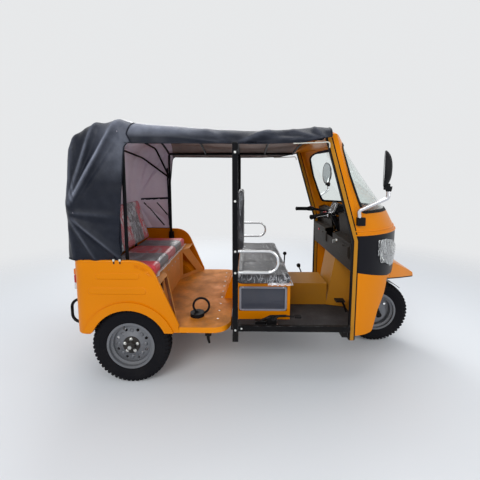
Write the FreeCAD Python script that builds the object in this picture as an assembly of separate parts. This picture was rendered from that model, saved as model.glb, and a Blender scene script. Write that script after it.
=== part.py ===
"""Three-wheeled auto rickshaw: steel tub, open cab with a wrap-round screen, folding canvas hood.

Frame: +X forward, +Y to the vehicle's left, +Z up, the ground at Z = 0 and the origin in the
middle of the outline on the ground. All lengths are in millimetres and all angles in degrees.
"""
import FreeCAD, Part
import math
import os

V = FreeCAD.Vector

# Wheels and overall reach
wheelbase = 1950.0
rear_reach = 462.0
front_reach = 305.0
tyre_diameter = 545.0
tyre_width = 115.0
tread_width = 92.0
rim_diameter = 335.0
wheel_gap = 6.0
pin_radius = 16.0

# Steering
head_angle = 24.0
fork_offset = 11.0
fork_leg_radius = 22.0
yoke_distance = 345.0
head_tube_start = 500.0
head_tube_length = 170.0
steer_gap = 0.3

# Ladder frame
rail_inset = 250.0
rail_width = 40.0
rail_bottom_z = 320.0
rail_top_z = 370.0

# Rear tub; the widths further on are set in from its half width
tub_half_width = 650.0
wheel_inset = 74.0
tub_wall = 20.0
tub_overhang = 384.0
tub_top_z = 880.0
tub_corner_radius = 100.0
slope_top_x = 148.0
slope_foot_x = 343.0
slope_round = 145.0
arch_radius = 284.0
flare_inner_radius = 272.0
flare_outer_radius = 328.0
flare_foot_z = 385.0
flare_depth = 22.0
sheet = 4.0

# Passenger floor and seat
floor_top_z = 424.0
floor_depth = 39.0
floor_front_x = 695.0
floor_corner_radius = 120.0
riser_x = 144.0
riser_half_width = 311.0
deck_z = 716.0
seat_inset = 130.0
cushion_front_x = 165.0
cushion_thickness = 92.0
backrest_foot_x = -210.0
backrest_height = 420.0
backrest_thickness = 62.0
backrest_lean = 15.0

# Driver's place
pillar_x = 731.0
pillar_depth = 37.0
pillar_inset = 20.0
pillar_foot_z = 327.0
pan_top_z = 380.0
pan_depth = 6.0
mat_thickness = 4.0
sill_width = 25.0
sill_height = 41.0
box_rear_x = 740.0
box_length = 394.0
box_inset = 145.0
box_top_z = 690.0
cover_height = 192.0
driver_cushion_inset = 70.0
driver_cushion_thickness = 65.0
tunnel_half_width = 150.0
tunnel_top_z = 560.0

# Cab and nose, measured back from the front axle
cab_inset = 77.0
cab_wall = 25.0
nose_front_x = 76.0
nose_fullness = 17.0
screen_foot_front_x = 3.0
screen_foot_fullness = 33.4
screen_head_front_x = -421.0
screen_head_fullness = 716.0
dash_knee_z = 985.0
bar_over_dash = 150.8
mask_bottom_z = 727.0
cowl_bottom_z = 1045.0
cowl_top_z = 1180.0
header_z = 1723.0
cab_top_z = 1741.0
door_edge_x = -422.0
door_knee_z = 1010.0
door_top_x = -625.0
door_top_z = 1700.0
door_foot_z = 300.0
door_seal_width = 9.0
door_post_width = 24.0
panel_foot_z = 332.0
screen_seal_width = 18.0
glass_thickness = 6.0
visor_root_inset = 143.0
visor_tip_half_width = 70.0

# Canopy
canopy_inset = 10.0
canopy_sheet = 8.0
canopy_hem_z = 1662.0
canopy_bend = 85.0
roof_rail_inset = 50.0
roof_rail_z = 1690.0
tube_radius = 12.0

# Places worked out from the sizes above
length = rear_reach + wheelbase + front_reach
rear_axle_x = -length / 2 + rear_reach
front_axle_x = rear_axle_x + wheelbase
axle_z = tyre_diameter / 2
tyre_radius = tyre_diameter / 2
rim_radius = rim_diameter / 2
wheel_y = tub_half_width - wheel_inset
rail_y = tub_half_width - rail_inset
seat_half_width = tub_half_width - seat_inset
pillar_y = tub_half_width - pillar_inset
canopy_half_width = tub_half_width - canopy_inset
roof_rail_y = tub_half_width - roof_rail_inset
driver_cushion_half_width = pillar_y - driver_cushion_inset
cab_half_width = tub_half_width - cab_inset
pan_half_width = cab_half_width + 2
box_half_width = pan_half_width - box_inset
visor_root_half_width = cab_half_width - visor_root_inset
nose_radius = cab_half_width + nose_fullness
nose_centre_x = nose_front_x - nose_radius
screen_foot_radius = cab_half_width + screen_foot_fullness
screen_foot_centre_x = screen_foot_front_x - screen_foot_radius
screen_head_radius = cab_half_width + screen_head_fullness
screen_head_centre_x = screen_head_front_x - screen_head_radius
column_length = (dash_knee_z + bar_over_dash - axle_z) / math.cos(math.radians(head_angle))
tub_rear_x = rear_axle_x - tub_overhang
tub_bottom_z = rail_top_z
box_x = rear_axle_x + box_rear_x
box_front_x = box_x + box_length
cab_floor_front_x = front_axle_x - 320
# half width of the blocks that cut or keep a part of the cab or the hood
room_y = tub_half_width + 50


def rear(x):
    """X of a place measured forward from the rear axle."""
    return rear_axle_x + x


def front(x):
    """X of a place measured forward from the front axle."""
    return front_axle_x + x


def block(x0, x1, y0, y1, z0, z1):
    """Box between two values on each axis."""
    return Part.makeBox(x1 - x0, y1 - y0, z1 - z0, V(x0, y0, z0))


def rod(start, end, radius):
    """Round bar between two points."""
    start, end = V(*start), V(*end)
    return Part.makeCylinder(radius, (end - start).Length, start, end - start)


def mirrored(shape):
    """The same piece on the other side of the vehicle."""
    return shape.mirror(V(0, 0, 0), V(0, 1, 0))


def both_sides(shape):
    """The piece and its mirror image, as a list."""
    return [shape, mirrored(shape)]


def joined(shapes):
    """One solid from touching or overlapping pieces."""
    result = shapes[0].multiFuse(shapes[1:]) if len(shapes) > 1 else shapes[0]
    return result.removeSplitter()


def corner_edges(points, radii, closed):
    """Straight edges through points, with an arc at each corner that has a radius."""
    points = [V(*p) for p in points]
    count = len(points)
    enter, leave, middle = [], [], []
    for i, point in enumerate(points):
        radius = radii[i] if closed or 0 < i < count - 1 else 0
        if not radius:
            enter.append(point)
            leave.append(point)
            middle.append(None)
            continue
        back = (points[i - 1] - point).normalize()
        ahead = (points[(i + 1) % count] - point).normalize()
        half = back.getAngle(ahead) / 2
        centre = point + (back + ahead).normalize() * (radius / math.sin(half))
        enter.append(point + back * (radius / math.tan(half)))
        leave.append(point + ahead * (radius / math.tan(half)))
        middle.append(centre + (point - centre).normalize() * radius)
    edges = []
    for i in range(count):
        if middle[i]:
            edges.append(Part.Arc(enter[i], middle[i], leave[i]).toShape())
        following = (i + 1) % count
        if (closed or following) and (enter[following] - leave[i]).Length > 0.01:
            edges.append(Part.makeLine(leave[i], enter[following]))
    return edges


def outline(points, radii=0):
    """Closed wire with rounded corners; radii is one value or one for each point."""
    if not isinstance(radii, (list, tuple)):
        radii = [radii] * len(points)
    return Part.Wire(corner_edges(points, radii, True))


def plate_xz(points, y0, y1, radii=0):
    """Side-view outline carried across from y0 to y1."""
    return Part.Face(outline([(x, y0, z) for x, z in points], radii)).extrude(V(0, y1 - y0, 0))


def plate_xy(points, z0, z1, radii=0):
    """Plan outline carried up from z0 to z1."""
    return Part.Face(outline([(x, y, z0) for x, y in points], radii)).extrude(V(0, 0, z1 - z0))


def plate_yz(points, x0, x1, radii=0):
    """Front-view outline carried along from x0 to x1."""
    return Part.Face(outline([(x0, y, z) for y, z in points], radii)).extrude(V(x1 - x0, 0, 0))


def tube(points, radius, bend):
    """Round tube or bar that follows points, with bends of one radius."""
    edges = corner_edges(points, [bend] * len(points), False)
    start = V(*points[0])
    profile = Part.Wire(Part.makeCircle(radius, start, V(*points[1]) - start))
    return Part.Wire(edges).makePipeShell([profile], True, False)


def bow(foot_x, crown_x, foot_z, crown_z, half_width, radius):
    """Curved bar from side to side through a crown."""
    foot = V(foot_x, -half_width, foot_z)
    path = Part.Arc(foot, V(crown_x, 0, crown_z), V(foot_x, half_width, foot_z))
    profile = Part.Wire(Part.makeCircle(radius, foot, path.tangent(path.FirstParameter)[0]))
    return Part.Wire(path.toShape()).makePipeShell([profile], True, False)


def loft(wires):
    """Solid ruled through closed outlines."""
    return Part.makeLoft(wires, True, True)


def ring(profile, centre):
    """Profile of (radius, offset along Y) points turned about the wheel axis through centre."""
    x, y, z = centre
    wire = Part.makePolygon([V(x, y + offset, z + radius) for radius, offset in profile + profile[:1]])
    return Part.Face(wire).revolve(V(x, y, z), V(0, 1, 0), 360)


def on_column(distance, side=0.0, ahead=0.0):
    """Point on the steering axis at a distance above the axle, moved sideways and ahead."""
    angle = math.radians(head_angle)
    x = front_axle_x - fork_offset - distance * math.sin(angle) + ahead * math.cos(angle)
    z = axle_z + distance * math.cos(angle) + ahead * math.sin(angle)
    return (x, side, z)


os.makedirs("parts", exist_ok=True)


def save(node, shapes):
    """Write one node: a single solid, or solids that don't touch."""
    shapes = shapes if isinstance(shapes, list) else [shapes]
    solids = [solid for shape in shapes for solid in shape.Solids]
    shape = solids[0] if len(solids) == 1 else Part.makeCompound(solids)
    if not shape.isValid():
        print("not valid:", node)
    shape.exportStep(f"parts/{node}.step")


# Ladder frame: two rails, cross members, engine cradle, backbone up to the head tube
rail_end_x = front(-430)
frame_pieces = []
for side in (-1, 1):
    y = side * rail_y
    frame_pieces.append(block(tub_rear_x + tub_wall, rail_end_x, y - rail_width / 2, y + rail_width / 2,
                              rail_bottom_z, rail_top_z))
# cross members: middle X, half width, bottom Z, top Z
cross_members = (
    (tub_rear_x + tub_wall + 20, rail_y, rail_bottom_z, rail_top_z),
    (rear(riser_x) + 60, rail_y, rail_bottom_z, rail_top_z),
    (rear(pillar_x), pillar_y + 15, rail_bottom_z, rail_top_z),
    (rail_end_x - 20, pan_half_width, rail_bottom_z, rail_top_z),
)
for x, half_width, z0, z1 in cross_members:
    frame_pieces.append(block(x - 20, x + 20, -half_width, half_width, z0, z1))
for x in (box_x + 80, box_front_x - 80):
    for side in (-1, 1):
        near, far = sorted((side * 190.3, side * rail_y))
        frame_pieces.append(block(x - 20, x + 20, near, far, rail_bottom_z + 10, rail_top_z - 10))
backbone = tube([(rail_end_x - 20, 0, rail_bottom_z + 25), (front(-392), 0, 360), (front(-330), 0, 600),
                 on_column(head_tube_start + head_tube_length / 2)], 24, 60)
head_tube = rod(on_column(head_tube_start), on_column(head_tube_start + head_tube_length), 30)
column_bore = rod(on_column(head_tube_start - 60), on_column(head_tube_start + head_tube_length + 60),
                  fork_leg_radius + steer_gap)
chassis_frame = joined(frame_pieces + [backbone, head_tube]).cut(column_bore)
save("chassis_frame", chassis_frame)

# Rear axle beam with its differential and the brake backing plates
beam_radius = 30.0
beam_end_y = wheel_y - 65
beam = rod((rear_axle_x, -beam_end_y, axle_z), (rear_axle_x, beam_end_y, axle_z), beam_radius)
differential = rod((rear_axle_x, -70, axle_z), (rear_axle_x, 70, axle_z), 95)
pinion_nose = rod((rear_axle_x, 0, axle_z), (rear(150), 0, axle_z + 10), 45)
backings = [rod((rear_axle_x, side * (beam_end_y - 8), axle_z), (rear_axle_x, side * beam_end_y, axle_z),
                100)
            for side in (-1, 1)]
wheel_pin = rod((rear_axle_x, -(wheel_y + 46), axle_z), (rear_axle_x, wheel_y + 46, axle_z), pin_radius)
propeller_shaft = rod((rear(150), 0, axle_z + 10), (box_x + 33, 0, 300), 18)
save("rear_axle", joined([beam, differential, pinion_nose, propeller_shaft, wheel_pin] + backings))

# Leaf springs under the axle, each with its clamp plate and its two hangers
spring_half_length = 330.0
leaf_thickness = 8.0
leaf_width = 56.0
spring_top_z = axle_z - beam_radius


def leaf(half_length, level):
    """One curved leaf of the stack; level 0 lies against the axle."""
    rise = 48.0 * (half_length / spring_half_length) ** 2
    z = spring_top_z - level * leaf_thickness
    top = Part.Arc(V(rear(-half_length), 0, z + rise), V(rear(0), 0, z), V(rear(half_length), 0, z + rise))
    low = z - leaf_thickness
    bottom = Part.Arc(V(rear(half_length), 0, low + rise), V(rear(0), 0, low),
                      V(rear(-half_length), 0, low + rise))
    edges = [top.toShape(), Part.makeLine(top.EndPoint, bottom.StartPoint), bottom.toShape(),
             Part.makeLine(bottom.EndPoint, top.StartPoint)]
    stack = Part.Face(Part.Wire(edges)).extrude(V(0, leaf_width, 0))
    stack.translate(V(0, rail_y - leaf_width / 2, 0))
    return stack


spring_pieces = [leaf(spring_half_length, 0), leaf(spring_half_length * 0.75, 1),
                 leaf(spring_half_length * 0.5, 2)]
for end in (-1, 1):
    spring_pieces.append(block(rear(end * spring_half_length) - 22, rear(end * spring_half_length) + 22,
                               rail_y - 34, rail_y + 34, spring_top_z + 20, rail_bottom_z))
spring_pieces.append(block(rear(-45), rear(45), rail_y - 40, rail_y + 40, spring_top_z - 34,
                           spring_top_z - 16))
save("leaf_springs", both_sides(joined(spring_pieces)))

# Tub panels: one folded wall, parted into two sides with their corners and a back
slope_run = slope_foot_x - slope_top_x
slope_drop = tub_top_z - floor_top_z


def slope_x(z):
    """X of the sloping front edge of the tub's side at a height."""
    return rear(slope_top_x + slope_run * (tub_top_z - z) / slope_drop)


def tub_plan(inset):
    """Plan outline of the tub, open to the front beyond the slope."""
    half = tub_half_width - inset
    x0 = tub_rear_x + inset
    x1 = rear(slope_foot_x) + 60
    corner = tub_corner_radius - inset
    return [(x0, -half), (x1, -half), (x1, half), (x0, half)], [corner, 0, 0, corner]


outer_points, outer_radii = tub_plan(0)
inner_points, inner_radii = tub_plan(tub_wall)
inner_points = [inner_points[0], (inner_points[1][0] + 10, inner_points[1][1]),
                (inner_points[2][0] + 10, inner_points[2][1]), inner_points[3]]
tub_wall_ring = plate_xy(outer_points, tub_bottom_z, tub_top_z, outer_radii).cut(
    plate_xy(inner_points, tub_bottom_z - 1, tub_top_z + 1, inner_radii))
side_view = plate_xz([(tub_rear_x - 5, tub_bottom_z), (tub_rear_x - 5, tub_top_z),
                      (rear(slope_top_x), tub_top_z),
                      (slope_x(floor_top_z), floor_top_z), (slope_x(floor_top_z) + 4,
                                                            floor_top_z - floor_depth),
                      (rear(0), tub_bottom_z)],
                     -tub_half_width, tub_half_width, [0, 0, slope_round, 0, 0, 0])
wheel_arch = rod((rear_axle_x, tub_half_width + 80, axle_z),
                 (rear_axle_x, wheel_y - tyre_width / 2 - 20, axle_z),
                 arch_radius)
wheel_arches = Part.makeCompound(both_sides(wheel_arch))
tub_walls = tub_wall_ring.common(side_view).cut(wheel_arches)
corner_seam_y = tub_half_width - tub_corner_radius - 10
middle = block(tub_rear_x - 5, tub_rear_x + tub_wall + 5, -corner_seam_y, corner_seam_y, 0, tub_top_z + 5)
flare_y = tub_half_width - 10
flare_ring = rod((rear_axle_x, flare_y, axle_z), (rear_axle_x, flare_y + flare_depth, axle_z),
                 flare_outer_radius).cut(
    rod((rear_axle_x, flare_y - 1, axle_z), (rear_axle_x, flare_y + flare_depth + 1, axle_z),
        flare_inner_radius))
flare = flare_ring.cut(block(rear(-400), rear(400), flare_y - 5, flare_y + flare_depth + 5, -100,
                             flare_foot_z))
# pressed ribs: rear end X, front end X, bottom Z, top Z
ribs = ((-213, 91, 757, 807), (-266, 134, 652, 706))
rib_pieces = []
for x0, x1, z0, z1 in ribs:
    low = outline([(rear(x), tub_half_width - 2, z) for x, z in ((x0, z0), (x1, z0), (x1, z1), (x0, z1))],
                  20)
    top = outline([(rear(x), tub_half_width + 5, z) for x, z in
                   ((x0 + 8, z0 + 8), (x1 - 8, z0 + 8), (x1 - 8, z1 - 8), (x0 + 8, z1 - 8))], 14)
    rib_pieces.append(loft([low, top]))
left_half = block(tub_rear_x - 5, rear(600), 0, tub_half_width + 5, 0, tub_top_z + 5)
left_side_panel = joined([tub_walls.cut(middle).common(left_half), flare] + rib_pieces)
save("rear_side_panel_left", left_side_panel)
save("rear_side_panel_right", mirrored(left_side_panel))
plate_z = 580.0
plate_holes = [rod((tub_rear_x - 10, side * 100, plate_z),
                   (tub_rear_x + tub_wall + 10, side * 100, plate_z), 3.5)
               for side in (-1, 1)]
back_panel = tub_walls.common(middle).cut(plate_holes)
save("rear_back_panel", back_panel)

# Inner wheel houses behind the tub's sides
house_inner_y = wheel_y - tyre_width / 2 - 18
house_outer_y = tub_half_width - tub_wall
house = rod((rear_axle_x, house_inner_y - sheet, axle_z), (rear_axle_x, house_outer_y, axle_z),
            arch_radius + sheet)
house = house.cut(rod((rear_axle_x, house_inner_y, axle_z), (rear_axle_x, house_outer_y + 1, axle_z),
                      arch_radius))
house = house.cut(block(rear(-400), rear(400), 0, tub_half_width, -100, rail_top_z))
house = house.cut(block(rear(riser_x), rear(400), 0, tub_half_width, 0, floor_top_z))
save("wheel_houses", both_sides(house))

# Passenger floor: a shallow steel tray turned down at its edges
floor_x0 = rear(riser_x)
floor_x1 = rear(floor_front_x)
step_x = slope_x(floor_top_z) + 4


def floor_outline(inset):
    """Plan of the passenger floor; it steps in between the tub's sides."""
    wide = tub_half_width - inset
    narrow = tub_half_width - tub_wall - inset
    corner = floor_corner_radius - inset
    points = [(floor_x0 + inset, -narrow), (step_x + inset, -narrow), (step_x + inset, -wide),
              (floor_x1 - inset, -wide), (floor_x1 - inset, wide), (step_x + inset, wide),
              (step_x + inset, narrow), (floor_x0 + inset, narrow)]
    return points, [0, 0, 0, corner, corner, 0, 0, 0]


points, radii = floor_outline(0)
floor_tray = plate_xy(points, floor_top_z - floor_depth, floor_top_z, radii)
points, radii = floor_outline(sheet)
floor_tray = floor_tray.cut(plate_xy(points, floor_top_z - floor_depth - 1, floor_top_z - sheet, radii))
house_clearance = rod((rear_axle_x, tub_half_width + 80, axle_z),
                      (rear_axle_x, house_inner_y - sheet, axle_z),
                      arch_radius + sheet)
save("passenger_floor", floor_tray.cut(Part.makeCompound(both_sides(house_clearance))))

# Seat riser, its two slanted gussets with a triangular hole, and the seat deck
gusset_plan_x = slope_x(floor_top_z) - 10 - rear(riser_x)
gusset_plan_y = tub_half_width - tub_wall - 6 - riser_half_width
gusset_run = math.hypot(gusset_plan_x, gusset_plan_y)
gusset_angle = math.degrees(math.atan2(gusset_plan_y, gusset_plan_x))
gusset_top_run = (slope_x(deck_z) - rear(riser_x)) / gusset_plan_x * gusset_run
gusset_end_z = floor_top_z + 18
gusset = plate_xz([(-sheet, floor_top_z), (gusset_run, floor_top_z), (gusset_run, gusset_end_z),
                   (gusset_top_run, deck_z), (gusset_top_run, deck_z + sheet), (-sheet,
                                                                                deck_z + sheet)], 0, sheet)
gusset = gusset.cut(plate_xz([(45, floor_top_z + 36), (gusset_run * 0.68, floor_top_z + 36),
                              (45, deck_z - 20)],
                             -1, sheet + 1))
gusset.rotate(V(0, 0, 0), V(0, 0, 1), gusset_angle)
gusset.translate(V(rear(riser_x), riser_half_width, 0))
riser = block(rear(riser_x) - sheet, rear(riser_x), -riser_half_width, riser_half_width, floor_top_z,
              deck_z)
deck_half = tub_half_width - tub_wall
deck_front_x = rear(riser_x) + gusset_top_run * math.cos(math.radians(gusset_angle))
deck_front_y = riser_half_width + gusset_top_run * math.sin(math.radians(gusset_angle))
deck = plate_xy([(tub_rear_x + tub_wall, deck_half), (deck_front_x, deck_half),
                 (deck_front_x, deck_front_y),
                 (rear(riser_x), riser_half_width), (rear(riser_x), -riser_half_width), (deck_front_x,
                                                                                         -deck_front_y),
                 (deck_front_x, -deck_half), (tub_rear_x + tub_wall, -deck_half)],
                deck_z, deck_z + sheet,
                [tub_corner_radius - tub_wall, 0, 0, 0, 0, 0, 0, tub_corner_radius - tub_wall])
save("seat_riser", joined([riser, deck] + both_sides(gusset)))

# Passenger cushion and backrest, and the tube frame behind the backrest
cushion_z = deck_z + sheet + 0.3
cushion_x0 = rear(backrest_foot_x) - 40
cushion = plate_xz([(cushion_x0, cushion_z), (rear(cushion_front_x), cushion_z),
                    (rear(cushion_front_x), cushion_z + cushion_thickness), (cushion_x0,
                                                                             cushion_z + cushion_thickness)],
                   -seat_half_width, seat_half_width, 22)
save("passenger_cushion", cushion)
lean = math.radians(backrest_lean)
backrest_z = cushion_z + cushion_thickness + 1


def behind(rise, back):
    """Point of the backrest's side view: rise up its face, back behind it."""
    return (rear(backrest_foot_x) - rise * math.sin(lean) - back * math.cos(lean),
            backrest_z + rise * math.cos(lean) - back * math.sin(lean))


backrest = plate_xz([behind(0, 0), behind(backrest_height, 0), behind(backrest_height, backrest_thickness),
                     behind(18, backrest_thickness)], -seat_half_width, seat_half_width, [10, 22, 22, 10])
save("passenger_backrest", backrest)
upright_y = seat_half_width - 190
frame_back = backrest_thickness + tube_radius + 0.3
upright_top = behind(backrest_height - 60, frame_back)
upright_foot = behind(60, frame_back)
backrest_frame = [tube([(upright_foot[0], y, deck_z + sheet), (upright_foot[0], y, upright_foot[1]),
                        (upright_top[0], y, upright_top[1])], tube_radius, 30) for y in (-upright_y,
                                                                                         upright_y)]
backrest_frame.append(rod((upright_top[0], -upright_y, upright_top[1]),
                          (upright_top[0], upright_y, upright_top[1]),
                          tube_radius))
save("backrest_frame", joined(backrest_frame))

# Driver's floor pan with its rubber mats, and the black sills along it
pan_x0 = floor_x1 + 1
pan_x1 = cab_floor_front_x
pan = block(pan_x0, pan_x1, -pan_half_width, pan_half_width, pan_top_z - mat_thickness - pan_depth,
            pan_top_z - mat_thickness)
engine_hole = block(box_x + 20, box_front_x - 20, -230, 230, 0, pan_top_z + 10)
tunnel_slot = block(box_front_x - 21, pan_x1 - 25, -tunnel_half_width + 8, tunnel_half_width - 8, 0,
                    pan_top_z + 10)
toe_half = cab_half_width - cab_wall - 14
nose_room = Part.makeCylinder(nose_radius - cab_wall - 2, 800, V(front(nose_centre_x), 0, 200))
nose_room = nose_room.common(block(front(-700), front(200), -toe_half, toe_half, 200, 1000))
floor_room = nose_room.fuse(block(pan_x0 - 5, front(door_edge_x) - 1, -room_y, room_y, 200, 1000))
save("driver_floor", pan.cut([engine_hole, tunnel_slot]).common(floor_room))
mat = block(box_front_x + 2, pan_x1 - 4, tunnel_half_width + 12, pan_half_width - 4,
            pan_top_z - mat_thickness, pan_top_z)
mat_beside_box = block(rear(pillar_x) + 20, box_front_x + 2, box_half_width + 2, pan_half_width - 4,
                       pan_top_z - mat_thickness, pan_top_z)
mat = joined([mat, mat_beside_box])
hump_room = plate_xy([(front(-475), -10), (front(-155), -10), (front(-155), 255), (front(-475), 172)], 300,
                     500)
save("floor_mats", both_sides(mat.cut(hump_room).common(floor_room)))
sill = block(rear(pillar_x) + pillar_depth / 2, front(-422), pan_half_width, pan_half_width + sill_width,
             pan_top_z - 9, pan_top_z - 9 + sill_height)
save("side_sills", both_sides(sill))

# Door-height pillars behind the driver, with the two rails that carry the driver's backrest
pillar_top_z = canopy_hem_z - 0.3
pillar = block(rear(pillar_x) - pillar_depth / 2, rear(pillar_x) + pillar_depth / 2, pillar_y - 18,
               pillar_y + 18,
               pillar_foot_z, pillar_top_z)
pillar_stub = block(rear(pillar_x) - 12, rear(pillar_x) + 12, roof_rail_y - 12, roof_rail_y + 22,
                    pillar_top_z,
                    roof_rail_z - tube_radius - 0.3)
outrigger_notch = block(rear(pillar_x) - 30, rear(pillar_x) + 30, 0, pillar_y + 15, rail_bottom_z,
                        rail_top_z)
rail_x = rear(pillar_x) - pillar_depth / 2 + tube_radius
rail_heights = (945.0, 1295.0)
rails = [rod((rail_x, -pillar_y, z), (rail_x, pillar_y, z), tube_radius) for z in rail_heights]
save("partition_frame", joined(both_sides(pillar.cut(outrigger_notch)) + both_sides(pillar_stub) + rails))

# Driver's seat box with a window in each side for the engine cover
box_z0 = pan_top_z - mat_thickness
box_wall = 20.0
seat_box = block(box_x, box_front_x, -box_half_width, box_half_width, box_z0, box_top_z)
seat_box = seat_box.cut(block(box_x + sheet, box_front_x - sheet, -box_half_width + box_wall,
                              box_half_width - box_wall, box_z0 - 1, box_top_z - sheet))
cover_x0 = box_x + 12
cover_x1 = box_front_x - 22
cover_z0 = box_z0 + 66
window = block(cover_x0, cover_x1, -box_half_width - 1, box_half_width + 1, cover_z0,
               cover_z0 + cover_height)
rear_hump = plate_xz([(rear(622.5), floor_top_z), (rear(686), 610), (box_x + 1, 610),
                      (box_x + 1, floor_top_z)],
                     -tunnel_half_width, tunnel_half_width)
save("driver_seat_box", joined([seat_box.cut(window), rear_hump]))
cover = block(cover_x0, cover_x1, box_half_width - box_wall, box_half_width - 2, cover_z0,
              cover_z0 + cover_height)
save("engine_covers", both_sides(cover))
engine = block(box_x + 35, box_front_x - 35, -190, 190, rail_bottom_z - 40, box_top_z - 70)
save("engine_block", engine)

# Exhaust beside the propeller shaft
muffler_y = rail_y - 165
muffler = rod((rear(330), muffler_y, 300), (rear(650), muffler_y, 300), 48)
front_pipe = tube([(box_x + 120, 130, rail_bottom_z - 40.3), (box_x + 120, 130, 246), (rear(710), 130, 246),
                   (rear(675), muffler_y, 290), (rear(645), muffler_y, 290)], 14, 20)
tail_pipe = tube([(rear(335), muffler_y, 300), (rear(290), muffler_y, 300),
                  (rear(230), muffler_y + 40, 285)], 14, 20)
hanger = block(rear(480), rear(500), muffler_y - 15, muffler_y + 15, 330, floor_top_z - sheet - 0.3)
save("exhaust", joined([muffler, front_pipe, tail_pipe, hanger]))

# Driver's cushion, backrest pad and chrome arm loops
seat_z = box_top_z + 0.3
driver_cushion = plate_xz([(box_x - 6, seat_z), (box_front_x - 8, seat_z),
                           (box_front_x - 8, seat_z + driver_cushion_thickness),
                           (box_x - 6, seat_z + driver_cushion_thickness)],
                          -driver_cushion_half_width, driver_cushion_half_width, 18)
save("driver_cushion", driver_cushion)
pad_x = rail_x + tube_radius + 0.3
pad_half_width = pillar_y - 300
pad_foot_z, pad_top_z = rail_heights[0] - 65, rail_heights[1] + 50
pad = plate_yz([(-pad_half_width, pad_foot_z), (pad_half_width, pad_foot_z), (pad_half_width, pad_top_z),
                (-pad_half_width, pad_top_z)], pad_x, pad_x + 50, 35)
save("driver_backrest", pad)
loop_x = rear(pillar_x) + pillar_depth / 2
arm_loop = tube([(loop_x, pillar_y, 953), (loop_x + 268, pillar_y, 953), (loop_x + 268, pillar_y, 807),
                 (loop_x, pillar_y, 807)], 10.5, 70)
save("arm_loops", both_sides(arm_loop))

# Tunnel and the hump round the front wheel, with the toe boards beside it
hump_back_x = front(-472)
tunnel = block(box_front_x, hump_back_x + 4, -tunnel_half_width, tunnel_half_width, box_z0, tunnel_top_z)
tunnel = tunnel.cut(block(box_front_x - 1, hump_back_x + 10, -tunnel_half_width + sheet,
                          tunnel_half_width - sheet,
                          box_z0 - 1, tunnel_top_z - sheet))
hump_top_z = dash_knee_z - 175


def hump(inset, extra):
    """Wheel hump: narrow and upright at the back, wider at the front, open below and ahead."""
    low, high = box_z0 - extra, hump_top_z + extra
    foot, top, end = -472 + inset, -402 + inset, -150 + extra
    narrow = tunnel_half_width - inset
    wide_foot, wide_top = tunnel_half_width + 90 - inset, tunnel_half_width + 75 - inset
    lower = [(front(foot), -narrow, low), (front(end), -wide_foot, low), (front(end), wide_foot, low),
             (front(foot), narrow, low)]
    upper = [(front(top), -narrow, high), (front(end), -wide_top, high), (front(end), wide_top, high),
             (front(top), narrow, high)]
    return loft([outline(lower), outline(upper)])


hump_shell = hump(0, 0).cut(hump(sheet, 30))
toe_board = plate_xz([(pan_x1 - 4, box_z0), (pan_x1, box_z0), (front(-185), hump_top_z - 70),
                      (front(-185) - 4, hump_top_z - 70)], -toe_half, toe_half)
toe_boards = toe_board.common(nose_room).cut(hump(0, 0))
save("front_bulkhead", joined([tunnel, hump_shell] + toe_boards.Solids))


# Cab skin: plan sections with flat sides and a round front, ruled from one height to the next
# columns: height, centre X of the front arc, radius of the front arc
cab_stations = (
    (door_foot_z, nose_centre_x, nose_radius),
    (cowl_bottom_z, nose_centre_x, nose_radius),
    (cowl_top_z, screen_foot_centre_x, screen_foot_radius),
    (header_z, screen_head_centre_x, screen_head_radius),
    (cab_top_z, screen_head_centre_x - 12, screen_head_radius - 26),
)


def cab_section(z, centre, radius, inset):
    """Plan outline of the cab at one height, drawn inward by inset."""
    half = cab_half_width - inset
    if z == cab_top_z:
        half -= 26
    arc_radius = radius - inset
    side_x = front(centre) + math.sqrt(arc_radius ** 2 - half ** 2)
    back_x = front(-720)
    nose = V(front(centre) + arc_radius, 0, z)
    corners = [V(back_x, -half, z), V(side_x, -half, z), V(side_x, half, z), V(back_x, half, z)]
    return Part.Wire([Part.makeLine(corners[0], corners[1]),
                      Part.Arc(corners[1], nose, corners[2]).toShape(),
                      Part.makeLine(corners[2], corners[3]), Part.makeLine(corners[3], corners[0])])


def cab_layer(lower, upper, inset):
    """Solid between two stations, its sides moved inward by inset."""
    return loft([cab_section(*lower, inset), cab_section(*upper, inset)])


def cab_skin(inset):
    """Solid bounded by the cab's outer surface moved inward by inset."""
    layers = [cab_layer(lower, upper, inset) for lower, upper in zip(cab_stations, cab_stations[1:])]
    return layers[0].multiFuse(layers[1:])


def door_line(shift, top_z=door_top_z):
    """Side-view points of a line parallel to the door opening's front edge."""
    rise = (top_z - door_knee_z) / (door_top_z - door_knee_z)
    top_x = door_edge_x + (door_top_x - door_edge_x) * rise
    return [(front(door_edge_x + shift), door_foot_z), (front(door_edge_x + shift), door_knee_z),
            (front(top_x + shift), top_z)]


cab_inner = cab_skin(cab_wall).cut(block(front(-800), front(200), -room_y, room_y, header_z - 22,
                                         cab_top_z + 50))
cab_shell = cab_skin(0).cut(cab_inner)
panel_edge = 2 * door_seal_width + door_post_width
door_cut = plate_xz(door_line(panel_edge, header_z + 60) + [(front(-900), header_z + 60),
                                                            (front(-900), door_foot_z)],
                    -room_y, room_y)
roof_keep = block(front(door_top_x) - 20, front(200), -room_y, room_y, door_top_z + 0.3, cab_top_z + 50)
cab_shell = cab_shell.cut(door_cut.cut(roof_keep))
cab_shell = cab_shell.cut(block(front(-900), front(door_top_x) - 20, -room_y, room_y, 200, cab_top_z + 50))

# windscreen opening in the side view: forward of the pillar's front edge, X from the front axle and Z
opening_points = [(-362, cowl_top_z + 15), (-404, 1305), (-462, 1459), (-500, 1600),
                  (-519, door_top_z - 10),
                  (200, door_top_z - 10), (200, cowl_top_z + 15)]


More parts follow.
